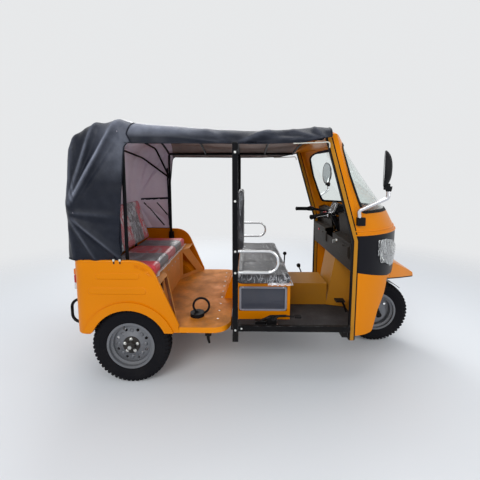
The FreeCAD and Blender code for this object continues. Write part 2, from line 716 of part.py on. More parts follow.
def screen_opening(inset):
    """Side-view cutter of the windscreen opening, drawn inward by inset."""
    low, high = cowl_top_z + 15 + inset, door_top_z - 10 - inset
    points = []
    for x, z in opening_points:
        points.append((front(x + (inset if x < 0 else 0)), min(max(z, low), high)))
    return plate_xz(points, -room_y, room_y, [45 - inset / 2, 0, 0, 0, 60 - inset, 0, 0])


cab_frame = cab_shell.common(block(front(-900), front(200), -room_y, room_y, cowl_top_z, cab_top_z + 50))
save("cab_frame", cab_frame.cut(screen_opening(0)))
seal_band = screen_opening(0).cut(screen_opening(screen_seal_width))
screen_stations = cab_stations[2:4]
screen_seal = cab_layer(*screen_stations, -3).cut(cab_layer(*screen_stations, 16)).common(seal_band)
save("windscreen_seal", screen_seal)
windscreen = cab_layer(*screen_stations, 5).cut(cab_layer(*screen_stations, 5 + glass_thickness))
windscreen = windscreen.common(screen_opening(screen_seal_width))
save("windscreen", windscreen)

# Nose: yellow cowl, black mask with lamp openings, and the yellow leg shields below
nose_cowl = cab_shell.common(block(front(-900), front(200), -room_y, room_y, cowl_bottom_z, cowl_top_z))
save("nose_cowl", nose_cowl)
shield_slope_x = -106.0
mask_side_z = mask_bottom_z + 59
mask_region = plate_xz([(front(-900), mask_side_z + 116), (front(-900), cowl_bottom_z),
                        (front(200), cowl_bottom_z),
                        (front(200), mask_bottom_z), (front(shield_slope_x),
                                                      mask_bottom_z)], -room_y, room_y)
mask_shell = cab_shell.common(mask_region)
# lamp outline: distance round the nose from the lamp's middle, Z
lamp_points = ((-143, 1010), (-70, 1010), (40, 985), (140, 930), (146, 895), (60, 800), (5, 800),
               (-79, 839), (-143, 885))
lamp_angle = 46.0
lamp_cut_depth = 190.0


def lamp_prism(inset):
    """Cutter of one headlamp outline, square to the nose at the lamp."""
    middle_s = sum(s for s, z in lamp_points) / len(lamp_points)
    middle_z = sum(z for s, z in lamp_points) / len(lamp_points)
    points = []
    for s, z in lamp_points:
        reach = math.hypot(s - middle_s, z - middle_z)
        scale = (reach - inset) / reach
        points.append((nose_radius - lamp_cut_depth, middle_s + (s - middle_s) * scale,
                       middle_z + (z - middle_z) * scale))
    prism = Part.Face(outline(points, 12)).extrude(V(lamp_cut_depth + 110, 0, 0))
    prism.rotate(V(0, 0, 0), V(0, 0, 1), -lamp_angle)
    prism.translate(V(front(nose_centre_x), 0, 0))
    return prism


def nose_band(inner, outer):
    """Upright cylinder wall about the nose's arc, between two radii."""
    centre = V(front(nose_centre_x), 0, mask_bottom_z)
    height = cowl_bottom_z - mask_bottom_z
    return Part.makeCylinder(outer, height, centre).cut(Part.makeCylinder(inner, height, centre))


lamp_holes = Part.makeCompound(both_sides(lamp_prism(0)))
save("nose_mask", mask_shell.cut(lamp_holes))
lens = lamp_prism(0.3).common(nose_band(nose_radius + 8, nose_radius + 13))
bowl = lamp_prism(0.3).common(nose_band(nose_radius - cab_wall, nose_radius + 8))
for turn, z, radius in ((-5, 935, 62), (9, 868, 44)):
    angle = math.radians(lamp_angle + turn)
    centre = V(front(nose_centre_x) + (nose_radius + 30) * math.cos(angle),
               -(nose_radius + 30) * math.sin(angle), z)
    bowl = bowl.cut(Part.makeSphere(radius, centre))
save("headlamp_lenses", both_sides(lens))
save("headlamp_bowls", both_sides(bowl))

# leg shield front edge: X from the front axle, Z
shield_edge = [(shield_slope_x, mask_bottom_z), (-117, 655), (-135, 599), (-195, 490),
               (-242, panel_foot_z + 8),
               (-300, panel_foot_z)]
shield_view = plate_xz([(front(-900), mask_side_z + 116)] + [(front(x), z) for x, z in shield_edge]
                       + [(front(-900), panel_foot_z)], -room_y, room_y, [0, 0, 20, 20, 0, 30, 0, 0])
shield = cab_shell.common(shield_view)
shield_left = shield.common(block(front(-900), front(200), 0, room_y, 0, 1000))
save("leg_shields", both_sides(shield_left))


# Door posts: a yellow strip between two black seals along each side of the door opening
def door_strip(start, width, inner_y, outer_y):
    """Strip that follows the door line between two Y values."""
    near, far = door_line(start), door_line(start + width)
    return plate_xz(near + far[::-1], inner_y, outer_y)


post = door_strip(door_seal_width, door_post_width, cab_half_width - 32, cab_half_width + 4)
save("door_posts", both_sides(post))
seals = [door_strip(0, door_seal_width, cab_half_width - 26, cab_half_width + 2),
         door_strip(door_seal_width + door_post_width, door_seal_width, cab_half_width - cab_wall,
                    cab_half_width + 2)]
save("door_seals", both_sides(seals[0]) + both_sides(seals[1]))

# Visor over the front wheel: a pointed hood on the nose
# columns: X from the front axle, half width, edge Z, shoulder Z, crown Z
visor_tip_x = front_reach
visor_stations = (
    (-110, visor_root_half_width, 701, 840, 862),
    (75, 268, 654, 748, 776),
    (visor_tip_x - 25, visor_tip_half_width + 12, 604, 637, 644),
    (visor_tip_x, visor_tip_half_width - 30, 600, 618, 621),
)


def visor_solid(inset):
    """Visor body drawn inward by inset; drawn inward it also runs out below."""
    wires = []
    for x, half, edge_z, shoulder_z, crown_z in visor_stations:
        x = x - inset if x == visor_tip_x else x
        drop = 40 if inset else 0
        lean_in = 0.12 * half
        wires.append(outline([(front(x), -half + inset, edge_z - drop),
                              (front(x), -half + lean_in + inset, shoulder_z - inset),
                              (front(x), 0, crown_z - inset), (front(x), half - lean_in - inset,
                                                               shoulder_z - inset),
                              (front(x), half - inset, edge_z - drop)]))
    return loft(wires)


nose_cylinder = Part.makeCylinder(nose_radius + 0.3, 700, V(front(nose_centre_x), 0, 500))
visor = visor_solid(0).cut(visor_solid(7)).cut(nose_cylinder)
save("visor", max(visor.Solids, key=lambda solid: solid.Volume))

# Dashboard: apron, shelf and instrument wall, with a gap for the steering column
dash_half = cab_half_width - 32 - 0.3
# columns: X ahead of the handlebar's middle, Z above the dashboard's knee
bar_centre = on_column(column_length)
dash_view = ((-22.6, -195), (-28.6, 0), (33.4, 15), (13.4, 165), (65.4, 180))
dash_thickness = 6.0
dash_outer = [(bar_centre[0] + x, dash_knee_z + z) for x, z in dash_view]
dash_inner = [(x + dash_thickness, z - dash_thickness if i in (2, 4) else z) for i,
              (x, z) in enumerate(dash_outer)]
dash_inner[0] = (dash_outer[0][0] + dash_thickness, dash_outer[0][1])
dash_inner[1] = (dash_outer[1][0] + dash_thickness, dash_outer[1][1] - dash_thickness)
dash_inner[3] = (dash_outer[3][0] + dash_thickness, dash_outer[3][1] - dash_thickness)
dashboard = plate_xz(dash_outer + dash_inner[::-1], -dash_half, dash_half)
column_gap = block(bar_centre[0] - 105, bar_centre[0] + 145, -115, 115, dash_knee_z - 45, dash_knee_z + 215)
save("dashboard", dashboard.cut(column_gap).common(cab_skin(cab_wall + 0.3)))

# Steering: column, yokes, fork legs and the wheel's axle pin
leg_y = tyre_width / 2 + wheel_gap + fork_leg_radius + 2
column = rod(on_column(yoke_distance), on_column(column_length), fork_leg_radius)
lower_yoke = rod(on_column(yoke_distance - 16), on_column(yoke_distance + 16), 36)
yoke_bar = rod(on_column(yoke_distance, -leg_y), on_column(yoke_distance, leg_y), 18)
legs = [rod(on_column(-34, side * leg_y, 11 * math.cos(math.radians(head_angle))),
            on_column(yoke_distance + 20, side * leg_y), fork_leg_radius) for side in (-1, 1)]
axle_pin = rod((front_axle_x, -leg_y - 34, axle_z), (front_axle_x, leg_y + 34, axle_z), pin_radius)
save("fork", joined([column, lower_yoke, yoke_bar, axle_pin] + legs))

# Handlebar with its grips and the instrument pod
grip_end = (bar_centre[0] - 257.6, cab_half_width - 247, bar_centre[2] + 6.2)
bar_points = [(bar_centre[0], 0, bar_centre[2]), (bar_centre[0] - 6, 90, bar_centre[2] + 6),
              (bar_centre[0] - 130, 240, bar_centre[2] + 14), (grip_end[0] + 20, grip_end[1] - 9,
                                                               grip_end[2])]
bar = tube(bar_points, 11, 45)
column_room = rod(on_column(yoke_distance), on_column(column_length + 5), fork_leg_radius + 0.3)
save("handlebar", [half.cut(column_room) for half in both_sides(bar)])
direction = V(*grip_end) - V(*bar_points[2])
direction.normalize()
grip_from = V(*grip_end) - direction * 125
grip_ring = Part.makeCylinder(17, 125, grip_from, direction).cut(bar)
save("grips", both_sides(grip_ring))
pod = plate_yz([(-85, 0), (85, 0), (85, 95), (-85, 95)], 0, 70, 22)
pod.rotate(V(0, 0, 0), V(0, 1, 0), head_angle)
pod.translate(V(*on_column(column_length + 14, 0, -10)))
bar_room = tube(bar_points, 11.3, 45)
save("instrument_pod", pod.cut(both_sides(bar_room) + [column_room]))

# Front mudguard on the fork
guard_radius = tyre_radius + 12
guard_half_width = tyre_width / 2 + 4
guard = ring([(guard_radius, -guard_half_width), (guard_radius + 4, -guard_half_width),
              (guard_radius + 4, guard_half_width), (guard_radius, guard_half_width)], (front_axle_x, 0,
                                                                                        axle_z))
guard = guard.common(plate_xz([(front_axle_x, axle_z), (front(-520), axle_z + 300),
                               (front(-300), axle_z + 700),
                               (front(100), axle_z + 700), (front(260), axle_z + 300)], -200, 200))
stay = rod(on_column(guard_radius - 3), on_column(yoke_distance - 18.3), 14)
save("front_mudguard", joined([guard, stay]))


# Wheels: tyre, pressed rim and brake drum
bead_radius = rim_radius - 12
# half profiles of the tyre: radius, distance from the middle plane
tyre_outside = ((bead_radius, 46), (bead_radius + 18, 50), (tyre_radius - 66, tyre_width / 2),
                (tyre_radius - 38, tyre_width / 2), (tyre_radius - 12, tread_width / 2 + 4),
                (tyre_radius - 4, tread_width / 2), (tyre_radius, tread_width / 4))
tyre_inside = ((bead_radius, 34), (bead_radius + 18, 38), (tyre_radius - 66, tyre_width / 2 - 9),
               (tyre_radius - 40, tyre_width / 2 - 10), (tyre_radius - 20, tread_width / 2 - 8),
               (tyre_radius - 15, tread_width / 4))
tyre_profile = ([(r, -y) for r, y in tyre_outside] + [(r, y) for r, y in tyre_outside[::-1]]
                + [(r, y) for r, y in tyre_inside] + [(r, -y) for r, y in tyre_inside[::-1]])
# rim with its dish and brake drum in one profile: radius, distance outward from the middle plane
seat_radius = bead_radius - 0.3
well_radius = bead_radius - 18
rim_profile = [(rim_radius, -54.5), (rim_radius, -50.6), (seat_radius, -49), (seat_radius, -33),
               (well_radius, -28),
               (well_radius, 24), (seat_radius, 30), (seat_radius, 49), (rim_radius, 50.6), (rim_radius,
                                                                                             54.5),
               (seat_radius - 4, 54.5), (seat_radius - 4, 33), (well_radius - 4, 28), (well_radius - 4, 14),
               (96, 20), (60, 34), (32, 34), (30, 50), (pin_radius + steer_gap,
                                                        50), (pin_radius + steer_gap, -56),
               (82, -56), (82, 18.1), (92, 14), (well_radius - 4, 6), (well_radius - 4,
                                                                       -31), (seat_radius - 4, -36),
               (seat_radius - 4, -54.5)]
hole_circle = 108.0
hole_count = 8


def wheel(centre):
    """Tyre and rim about an axle line through centre, the rim's dish facing +Y."""
    x, y, z = centre
    holes = []
    for i in range(hole_count):
        angle = math.radians(22.5) + 2 * math.pi * i / hole_count
        hole_x, hole_z = x + hole_circle * math.cos(angle), z + hole_circle * math.sin(angle)
        holes.append(rod((hole_x, y - 40, hole_z), (hole_x, y + 60, hole_z), 11))
    return ring(tyre_profile, centre), ring(rim_profile, centre).cut(holes)


rear_tyre, rear_rim = wheel((rear_axle_x, wheel_y, axle_z))
for node, shape in (("tyre", rear_tyre), ("rim", rear_rim)):
    save(f"rear_left_{node}", shape)
    save(f"rear_right_{node}", mirrored(shape))
front_tyre, front_rim = wheel((front_axle_x, 0, axle_z))
save("front_tyre", front_tyre)
save("front_rim", front_rim)

# Canopy: crowned roof over the rails and the hood that wraps the passengers' seat
# columns: X from the rear axle, shoulder Z, crown Z
roof_stations = ((59, 1797, 1832), (503, 1764, 1800), (762, 1745, 1784), (956, 1745, 1784),
                 (1275, 1772, 1802),
                 (1345, 1764, 1790))
hood_stations = ((59, 1797, 1832), (-18, 1820, 1850), (-152, 1800, 1835), (-262, 1765, 1800),
                 (-337, 1700, 1740),
                 (-440, 1520, 1565))
# columns of the hood's back: Z, X from the rear axle
hood_back = ((tub_top_z, -424), (1144, -411), (1208, -430), (1345, -407), (1547, -391), (1676, -369),
             (1860, -326))


def canopy_tunnel(stations, hem_z, inset):
    """Solid under the canvas from end to end, its outline drawn in by inset."""
    half = canopy_half_width - inset
    bend = canopy_bend - inset
    wires = []
    for x, shoulder_z, crown_z in stations:
        low = shoulder_z - 8 - inset
        rise = crown_z - shoulder_z + 16
        crown_radius = 0.6 * (half - bend) * half / rise
        wires.append(outline([(rear(x), -half, hem_z), (rear(x), -half, low), (rear(x), 0, low + rise),
                              (rear(x), half, low), (rear(x), half, hem_z)], [0, bend, crown_radius, bend,
                                                                              0]))
    return loft(wires)


def hood_plan(inset):
    """Solid within the hood's back and sides, drawn in by inset."""
    half = canopy_half_width - inset
    corner = tub_corner_radius - inset
    wires = []
    for z, x in hood_back:
        x0, x1 = rear(x) + inset, rear(90)
        wires.append(outline([(x0, -half, z), (x1, -half, z), (x1, half, z), (x0, half, z)],
                             [corner, 0, 0, corner]))
    return loft(wires)


roof_inner = [(roof_stations[0][0] - 2,) + roof_stations[0][1:]] + list(roof_stations[1:-1]) + [
    (roof_stations[-1][0] + 2,) + roof_stations[-1][1:]]
canopy_roof = canopy_tunnel(roof_stations, canopy_hem_z, 0).cut(
    canopy_tunnel(roof_inner, canopy_hem_z - 20, canopy_sheet))
save("canopy_roof", canopy_roof.cut(cab_skin(-0.5)))
hood = canopy_tunnel(hood_stations, tub_top_z + 0.3, 0).common(hood_plan(0))
hood_room = canopy_tunnel([(61,) + hood_stations[0][1:]] + list(hood_stations[1:]), tub_top_z - 20,
                          canopy_sheet)
hood = hood.cut(hood_room.common(hood_plan(canopy_sheet)))
# front edge of the hood's side: X from the rear axle, Z
hood_edge = [(42, 1663), (16, 1640), (-13, 1359), (-45, 1025), (-28, tub_top_z)]
hood_front_cut = plate_xz([(rear(x), z) for x, z in hood_edge] + [(rear(400), tub_top_z),
                                                                  (rear(400), 1663)], -room_y, room_y)
save("canopy_hood", hood.cut(hood_front_cut))

# Roof rails with their bows, and the bows of the folding hood
rail_rear_x = rear(-8)
rail_front_x = front(door_top_x) - 20 - tube_radius + 1.7
rails = [rod((rail_rear_x, side * roof_rail_y, roof_rail_z),
             (rail_front_x, side * roof_rail_y, roof_rail_z), tube_radius)
         for side in (-1, 1)]
front_bow_x = rail_front_x - rear_axle_x - 294.7
# columns: X from the rear axle, crown Z
bows = ((-8, 1806), (380, 1768), (pillar_x, 1748), (front_bow_x, 1744), (rail_front_x - rear_axle_x, 1740))
bow_pieces = [bow(rear(x), rear(x), roof_rail_z, crown_z, roof_rail_y, tube_radius - 2) for x,
              crown_z in bows]
save("roof_rails", joined(rails + bow_pieces))
hood_posts = [rod((rail_rear_x, side * roof_rail_y, roof_rail_z - tube_radius - 0.3),
                  (rail_rear_x, side * roof_rail_y, tub_top_z - 120), tube_radius)
              for side in (-1, 1)]
# columns: crown X from the rear axle, crown Z
hood_bow_table = ((-150, 1785), (-290, 1690))
pivot_z = 1440.0
hood_bows = []
for x, crown_z in hood_bow_table:
    corner_y = roof_rail_y
    hood_bows.append(tube([(rail_rear_x, -corner_y, pivot_z), (rear(x), -corner_y, crown_z - 40),
                           (rear(x), 0, crown_z),
                           (rear(x), corner_y, crown_z - 40), (rail_rear_x, corner_y, pivot_z)], 9, 45))
post_feet = [block(rail_rear_x - 25, rail_rear_x + 25, roof_rail_y, tub_half_width - tub_wall - 0.3,
                   tub_top_z - 100,
                   tub_top_z - 20)]
save("hood_bows", joined(hood_posts + hood_bows + post_feet + [mirrored(post_feet[0])]))

# Lamps, plate, guards and mirrors
mirror_x = front(-250)
mirror_y = cab_half_width + 101
mirror_foot_z = 1378.0
mirror_height = 230.0
mirror_half_width = 70.0
mirror_rim = 8.0
mirror_turn = 22.0
mirror_arm_radius = 13.0
tail_lamp = block(tub_rear_x - 42, tub_rear_x, corner_seam_y - 70, corner_seam_y, 640, 800)
save("tail_lamps", both_sides(tail_lamp))
save("number_plate", block(tub_rear_x - 3, tub_rear_x, -130, 130, 520, 640).cut(plate_holes))
guard_x = rear(-rear_reach) + 10
guard_y = corner_seam_y - 5
rear_guard = tube([(tub_rear_x, guard_y, 570), (guard_x, guard_y, 570), (guard_x, guard_y, 400),
                   (tub_rear_x, guard_y, 400)],
                  10, 60)
save("rear_guards", both_sides(rear_guard))
bracket_x = front(-380)
bracket = block(bracket_x - 24, bracket_x + 24, cab_half_width + 0.3, cab_half_width + 26, 1122, 1172)
arm = tube([(bracket_x - 10, cab_half_width + 14, 1160), (bracket_x - 20, cab_half_width + 22, 1220),
            (mirror_x, mirror_y, 1312), (mirror_x, mirror_y, mirror_foot_z - 0.3)], mirror_arm_radius, 20)
save("mirror_arms", both_sides(joined([bracket, arm])))


def mirror_plate(inset, x0, x1, radii):
    """Upright plate with the mirror's outline drawn in by inset, turned towards the driver."""
    half = mirror_half_width - inset
    z0, z1 = mirror_foot_z + inset, mirror_foot_z + mirror_height - inset
    plate = plate_yz([(mirror_y - half, z0), (mirror_y + half, z0), (mirror_y + half, z1),
                      (mirror_y - half, z1)],
                     mirror_x + x0, mirror_x + x1, [radius - 0.9 * inset for radius in radii])
    plate.rotate(V(mirror_x, mirror_y, 0), V(0, 0, 1), mirror_turn)
    return plate


mirror_corners = (40, 55, 60, 50)
save("mirror_heads", both_sides(mirror_plate(0, -29, 31, mirror_corners)))
save("mirror_glasses", both_sides(mirror_plate(mirror_rim, -32, -29, mirror_corners)))

# Small controls and the ring on the passenger floor
pedal_x = front(-400)
pedal = block(pedal_x - 40, pedal_x + 30, -330, -270, 470, 482)
pedal_arm = tube([(pedal_x + 10, -300, 474), (pedal_x + 30, -300, 440),
                  (pedal_x + 50, -300, pan_top_z + 3)], 8, 10)
lever_x = box_x + 130
lever_y = -(box_half_width + 70)
hand_brake = joined([block(lever_x, lever_x + 120, lever_y - 20, lever_y + 20, pan_top_z, pan_top_z + 26),
                     tube([(lever_x + 40, lever_y, pan_top_z + 20),
                           (lever_x + 110, lever_y, pan_top_z + 56),
                           (lever_x + 230, lever_y, pan_top_z + 60)], 9, 18)])
gear_x = box_front_x + 20
gear_lever = joined([rod((gear_x, tunnel_half_width - 30, tunnel_top_z + 1),
                         (gear_x + 10, tunnel_half_width - 26, 740), 6),
                           Part.makeSphere(17, V(gear_x + 10, tunnel_half_width - 26, 745))])
save("driver_controls", [joined([pedal, pedal_arm]), hand_brake, gear_lever])
ring_x = rear(444)
ring_y = 180 - tub_half_width
puck = rod((ring_x, ring_y, floor_top_z), (ring_x, ring_y, floor_top_z + 26), 52)
loop = Part.makeTorus(58, 8, V(ring_x + 30, ring_y, floor_top_z + 76), V(0, 1, 0))
save("floor_ring", joined([puck, loop]))
print("length", length, "rear axle X", rear_axle_x, "front axle X", front_axle_x)
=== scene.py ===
import math

import bmesh
import bpy
import numpy as np
from mathutils import Matrix, Vector, noise


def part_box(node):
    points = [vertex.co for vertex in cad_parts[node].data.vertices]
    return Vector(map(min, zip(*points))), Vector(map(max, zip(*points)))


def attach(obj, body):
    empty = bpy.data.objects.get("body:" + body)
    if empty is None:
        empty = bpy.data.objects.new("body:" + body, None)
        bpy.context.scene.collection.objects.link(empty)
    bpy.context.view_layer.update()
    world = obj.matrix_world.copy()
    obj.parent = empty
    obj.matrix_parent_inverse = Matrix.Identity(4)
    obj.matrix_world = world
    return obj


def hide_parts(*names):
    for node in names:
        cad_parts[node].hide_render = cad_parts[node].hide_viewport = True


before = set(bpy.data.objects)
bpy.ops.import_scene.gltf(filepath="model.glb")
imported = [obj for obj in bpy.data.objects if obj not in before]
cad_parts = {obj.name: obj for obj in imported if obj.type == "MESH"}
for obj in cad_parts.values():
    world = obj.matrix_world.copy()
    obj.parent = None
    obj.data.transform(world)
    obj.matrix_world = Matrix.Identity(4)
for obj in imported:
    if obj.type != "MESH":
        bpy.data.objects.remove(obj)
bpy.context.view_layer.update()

# Studio. A plain pale floor that fades into the pale surroundings, broad soft lamps on both sides and
# above, and the camera at the photograph's place: low on the vehicle's right side, a little above the tub.
def node(tree, kind, settings=(), **sockets):
    """Node with its settings, and values by socket name with _ for a space."""
    made = tree.nodes.new(kind)
    for key, value in dict(settings).items():
        setattr(made, key, value)
    for key, value in sockets.items():
        made.inputs[key.replace("_", " ")].default_value = value
    return made


def meshed(name, form):
    """Mesh from a form, which is used up."""
    mesh = bpy.data.meshes.new(name)
    form.to_mesh(mesh)
    form.free()
    return mesh


def linked(name, thing):
    """Object of a mesh, lamp or camera, in the scene."""
    made = bpy.data.objects.new(name, thing)
    bpy.context.scene.collection.objects.link(made)
    return made


floor_form = bmesh.new()
bmesh.ops.create_circle(floor_form, cap_ends=True, segments=96, radius=14.0)
studio_floor = linked("studio_floor", meshed("studio_floor", floor_form))
floor_finish = bpy.data.materials.new("studio_floor")
floor_finish.use_nodes = True
tree = floor_finish.node_tree
tree.nodes.clear()
place = node(tree, "ShaderNodeTexCoord")
distance = node(tree, "ShaderNodeVectorMath", {"operation": "LENGTH"})
# the floor is whole as far as 2.2 m from its middle and gone at 5.5 m
fade = node(tree, "ShaderNodeMapRange", {"interpolation_type": "SMOOTHSTEP"}, From_Min=2.2, From_Max=5.5)
matt = node(tree, "ShaderNodeBsdfDiffuse", Color=(0.74, 0.75, 0.75, 1))
clear = node(tree, "ShaderNodeBsdfTransparent")
blend = node(tree, "ShaderNodeMixShader")
output = node(tree, "ShaderNodeOutputMaterial")
tree.links.new(place.outputs["Object"], distance.inputs[0])
tree.links.new(distance.outputs["Value"], fade.inputs["Value"])
tree.links.new(fade.outputs["Result"], blend.inputs["Fac"])
tree.links.new(matt.outputs["BSDF"], blend.inputs[1])
tree.links.new(clear.outputs["BSDF"], blend.inputs[2])
tree.links.new(blend.outputs["Shader"], output.inputs["Surface"])
studio_floor.data.materials.append(floor_finish)

world = bpy.data.worlds.new("studio")
bpy.context.scene.world = world
world.use_nodes = True
tree = world.node_tree
tree.nodes.clear()
rays = node(tree, "ShaderNodeLightPath")
seen = node(tree, "ShaderNodeMath", {"operation": "MAXIMUM"})
mirrored = node(tree, "ShaderNodeMath", {"operation": "MAXIMUM"})
around = node(tree, "ShaderNodeBackground", Color=(0.80, 0.87, 1.0, 1), Strength=0.50)
backdrop = node(tree, "ShaderNodeBackground", Color=(0.80, 0.81, 0.82, 1), Strength=1.0)
pick = node(tree, "ShaderNodeMixShader")
output = node(tree, "ShaderNodeOutputWorld")
tree.links.new(rays.outputs["Is Camera Ray"], seen.inputs[0])
tree.links.new(rays.outputs["Is Transmission Ray"], seen.inputs[1])
tree.links.new(seen.outputs["Value"], mirrored.inputs[0])
tree.links.new(rays.outputs["Is Glossy Ray"], mirrored.inputs[1])
tree.links.new(mirrored.outputs["Value"], pick.inputs["Fac"])
tree.links.new(around.outputs["Background"], pick.inputs[1])
tree.links.new(backdrop.outputs["Background"], pick.inputs[2])
tree.links.new(pick.outputs["Shader"], output.inputs["Surface"])

# lamps: name, place, what it points at, width, height, watts
lamps = (
    ("lamp_key", (-2.0, -4.7, 3.7), (0.0, -0.3, 0.8), 3.4, 2.6, 145.0),
    ("lamp_fill", (3.6, -3.6, 2.4), (0.2, 0.0, 0.8), 2.6, 2.6, 62.0),
    ("lamp_top", (0.2, 0.6, 4.6), (0.0, 0.0, 1.0), 4.0, 3.0, 105.0),
    ("lamp_back", (-1.5, 4.8, 3.4), (0.0, 0.0, 0.9), 3.2, 2.6, 120.0),
)
for name, spot, aim, width, height, watts in lamps:
    light = bpy.data.lights.new(name, "AREA")
    light.shape = "RECTANGLE"
    light.size = width
    light.size_y = height
    light.energy = watts
    lamp = linked(name, light)
    lamp.location = spot
    lamp.rotation_euler = (Vector(aim) - Vector(spot)).to_track_quat("-Z", "Y").to_euler()

camera = linked("camera", bpy.data.cameras.new("camera"))
camera.location = (-0.1000, -2.5505, 1.4330)
camera.rotation_euler = (math.radians(90 - 6.57), 0, math.radians(1.008))
camera.data.lens = 22.10
camera.data.sensor_width = 36.0
camera.data.shift_y = -27.5 / 480
bpy.context.scene.camera = camera
bpy.context.scene.view_settings.view_transform = "Standard"


# Painted steel. The ladder frame, the pillars, the sills and the fork are brushed with thick black paint
# that shows bare grey where edges are knocked; the tub, the floor and the cab wear glossy orange yellow.
def effect(name, inputs, outputs):
    """Shader node group with named sockets: (label, kind, value) going in and (label, kind) coming out."""
    group = bpy.data.node_groups.new(name, "ShaderNodeTree")
    for label, kind, value in inputs:
        group.interface.new_socket(label, in_out="INPUT", socket_type=kind).default_value = value
    for label, kind in outputs:
        group.interface.new_socket(label, in_out="OUTPUT", socket_type=kind)
    return group, group.nodes.new("NodeGroupInput"), group.nodes.new("NodeGroupOutput")


def sampled(tree, kind, settings=(), **sockets):
    """Node whose vector is the object's own coordinates."""
    made = node(tree, kind, settings, **sockets)
    tree.links.new(node(tree, "ShaderNodeTexCoord").outputs["Object"], made.inputs["Vector"])
    return made


def fed(tree, made, **values):
    """Node with links or plain values going in, by socket name or, as input_3, by number."""
    for label, value in values.items():
        number = label.removeprefix("input_")
        socket = made.inputs[int(number) if number.isdigit() else label]
        if isinstance(value, bpy.types.NodeSocket):
            tree.links.new(value, socket)
        elif value is not None:
            socket.default_value = value
    return made


def math_node(tree, operation, first, second=None, clamp=False):
    """Math node whose inputs are links or plain values."""
    made = node(tree, "ShaderNodeMath", {"operation": operation, "use_clamp": clamp})
    return fed(tree, made, input_0=first, input_1=second).outputs["Value"]


def mix_colour(tree, factor, first, second):
    """Colour mix whose inputs are links or plain values."""
    made = node(tree, "ShaderNodeMix", {"data_type": "RGBA"})
    return fed(tree, made, input_0=factor, input_6=first, input_7=second).outputs[2]


COLOUR, VALUE = "NodeSocketColor", "NodeSocketFloat"

dust, given, out = effect(
    "road_dust",
    [("Colour", COLOUR, (1, 1, 1, 1)), ("Roughness", VALUE, 0.4), ("Dust Colour", COLOUR, (0.30, 0.25, 0.19, 1)),
     ("Height", VALUE, 0.6), ("Amount", VALUE, 0.3), ("Patches", VALUE, 0.1)],
    [("Colour", COLOUR), ("Roughness", VALUE)])
heights = sampled(dust, "ShaderNodeSeparateXYZ")
facing = node(dust, "ShaderNodeSeparateXYZ")
dust.links.new(node(dust, "ShaderNodeTexCoord").outputs["Normal"], facing.inputs["Vector"])
cloud = sampled(dust, "ShaderNodeTexNoise", Scale=7.0, Detail=6.0, Roughness=0.65)
broad = sampled(dust, "ShaderNodeTexNoise", Scale=1.7, Detail=3.0, Roughness=0.5)
low = math_node(dust, "SUBTRACT", 1.0, math_node(dust, "DIVIDE", heights.outputs["Z"], given.outputs["Height"]), True)
level = math_node(dust, "MULTIPLY", math_node(dust, "MAXIMUM", facing.outputs["Z"], 0.0), 0.35)
reach = math_node(dust, "ADD", low, level)
speckle = math_node(dust, "MULTIPLY", math_node(dust, "SUBTRACT", cloud.outputs["Fac"], 0.25, True), 1.7)
cover = math_node(dust, "MULTIPLY", math_node(dust, "MULTIPLY", reach, speckle), given.outputs["Amount"], True)
patch = math_node(dust, "MULTIPLY", math_node(dust, "SUBTRACT", broad.outputs["Fac"], 0.35, True),
                  given.outputs["Patches"], True)
toned = mix_colour(dust, patch, given.outputs["Colour"], (0.0, 0.0, 0.0, 1))
dust.links.new(mix_colour(dust, cover, toned, given.outputs["Dust Colour"]), out.inputs["Colour"])
dust.links.new(math_node(dust, "ADD", math_node(dust, "MULTIPLY", cover, 0.4),
                         math_node(dust, "ADD", given.outputs["Roughness"],
                                   math_node(dust, "MULTIPLY", patch, 0.3)), True), out.inputs["Roughness"])

chips, given, out = effect(
    "edge_chips",
    [("Colour", COLOUR, (0, 0, 0, 1)), ("Bare Colour", COLOUR, (0.3, 0.3, 0.3, 1)), ("Width", VALUE, 0.004),
     ("Amount", VALUE, 0.5)],
    [("Colour", COLOUR), ("Mask", VALUE)])
rounded_edge = node(chips, "ShaderNodeBevel", {"samples": 4})
chips.links.new(given.outputs["Width"], rounded_edge.inputs["Radius"])
agree = node(chips, "ShaderNodeVectorMath", {"operation": "DOT_PRODUCT"})
chips.links.new(rounded_edge.outputs["Normal"], agree.inputs[0])
chips.links.new(node(chips, "ShaderNodeNewGeometry").outputs["Normal"], agree.inputs[1])
bite = sampled(chips, "ShaderNodeTexNoise", Scale=38.0, Detail=5.0, Roughness=0.7)
edge = math_node(chips, "MULTIPLY", math_node(chips, "SUBTRACT", 1.0, agree.outputs["Value"], True), 6.0, True)
torn = math_node(chips, "MULTIPLY", math_node(chips, "SUBTRACT", bite.outputs["Fac"], 0.48, True), 9.0, True)
worn = math_node(chips, "MULTIPLY", math_node(chips, "MULTIPLY", edge, torn), given.outputs["Amount"], True)
chips.links.new(mix_colour(chips, worn, given.outputs["Colour"], given.outputs["Bare Colour"]), out.inputs["Colour"])
chips.links.new(worn, out.inputs["Mask"])

ripple, given, out = effect("surface_ripple", [("Scale", VALUE, 60.0), ("Fine", VALUE, 0.4)], [("Height", VALUE)])
swell = sampled(ripple, "ShaderNodeTexNoise", Detail=2.0, Roughness=0.5)
ripple.links.new(given.outputs["Scale"], swell.inputs["Scale"])
tooth = sampled(ripple, "ShaderNodeTexNoise", Detail=4.0, Roughness=0.6)
ripple.links.new(math_node(ripple, "MULTIPLY", given.outputs["Scale"], 9.0), tooth.inputs["Scale"])
ripple.links.new(math_node(ripple, "ADD", swell.outputs["Fac"],
                           math_node(ripple, "MULTIPLY", tooth.outputs["Fac"], given.outputs["Fine"])),
                 out.inputs["Height"])


def placed(tree, group, **sockets):
    """Group node with values by socket name."""
    return node(tree, "ShaderNodeGroup", {"node_tree": group}, **sockets)


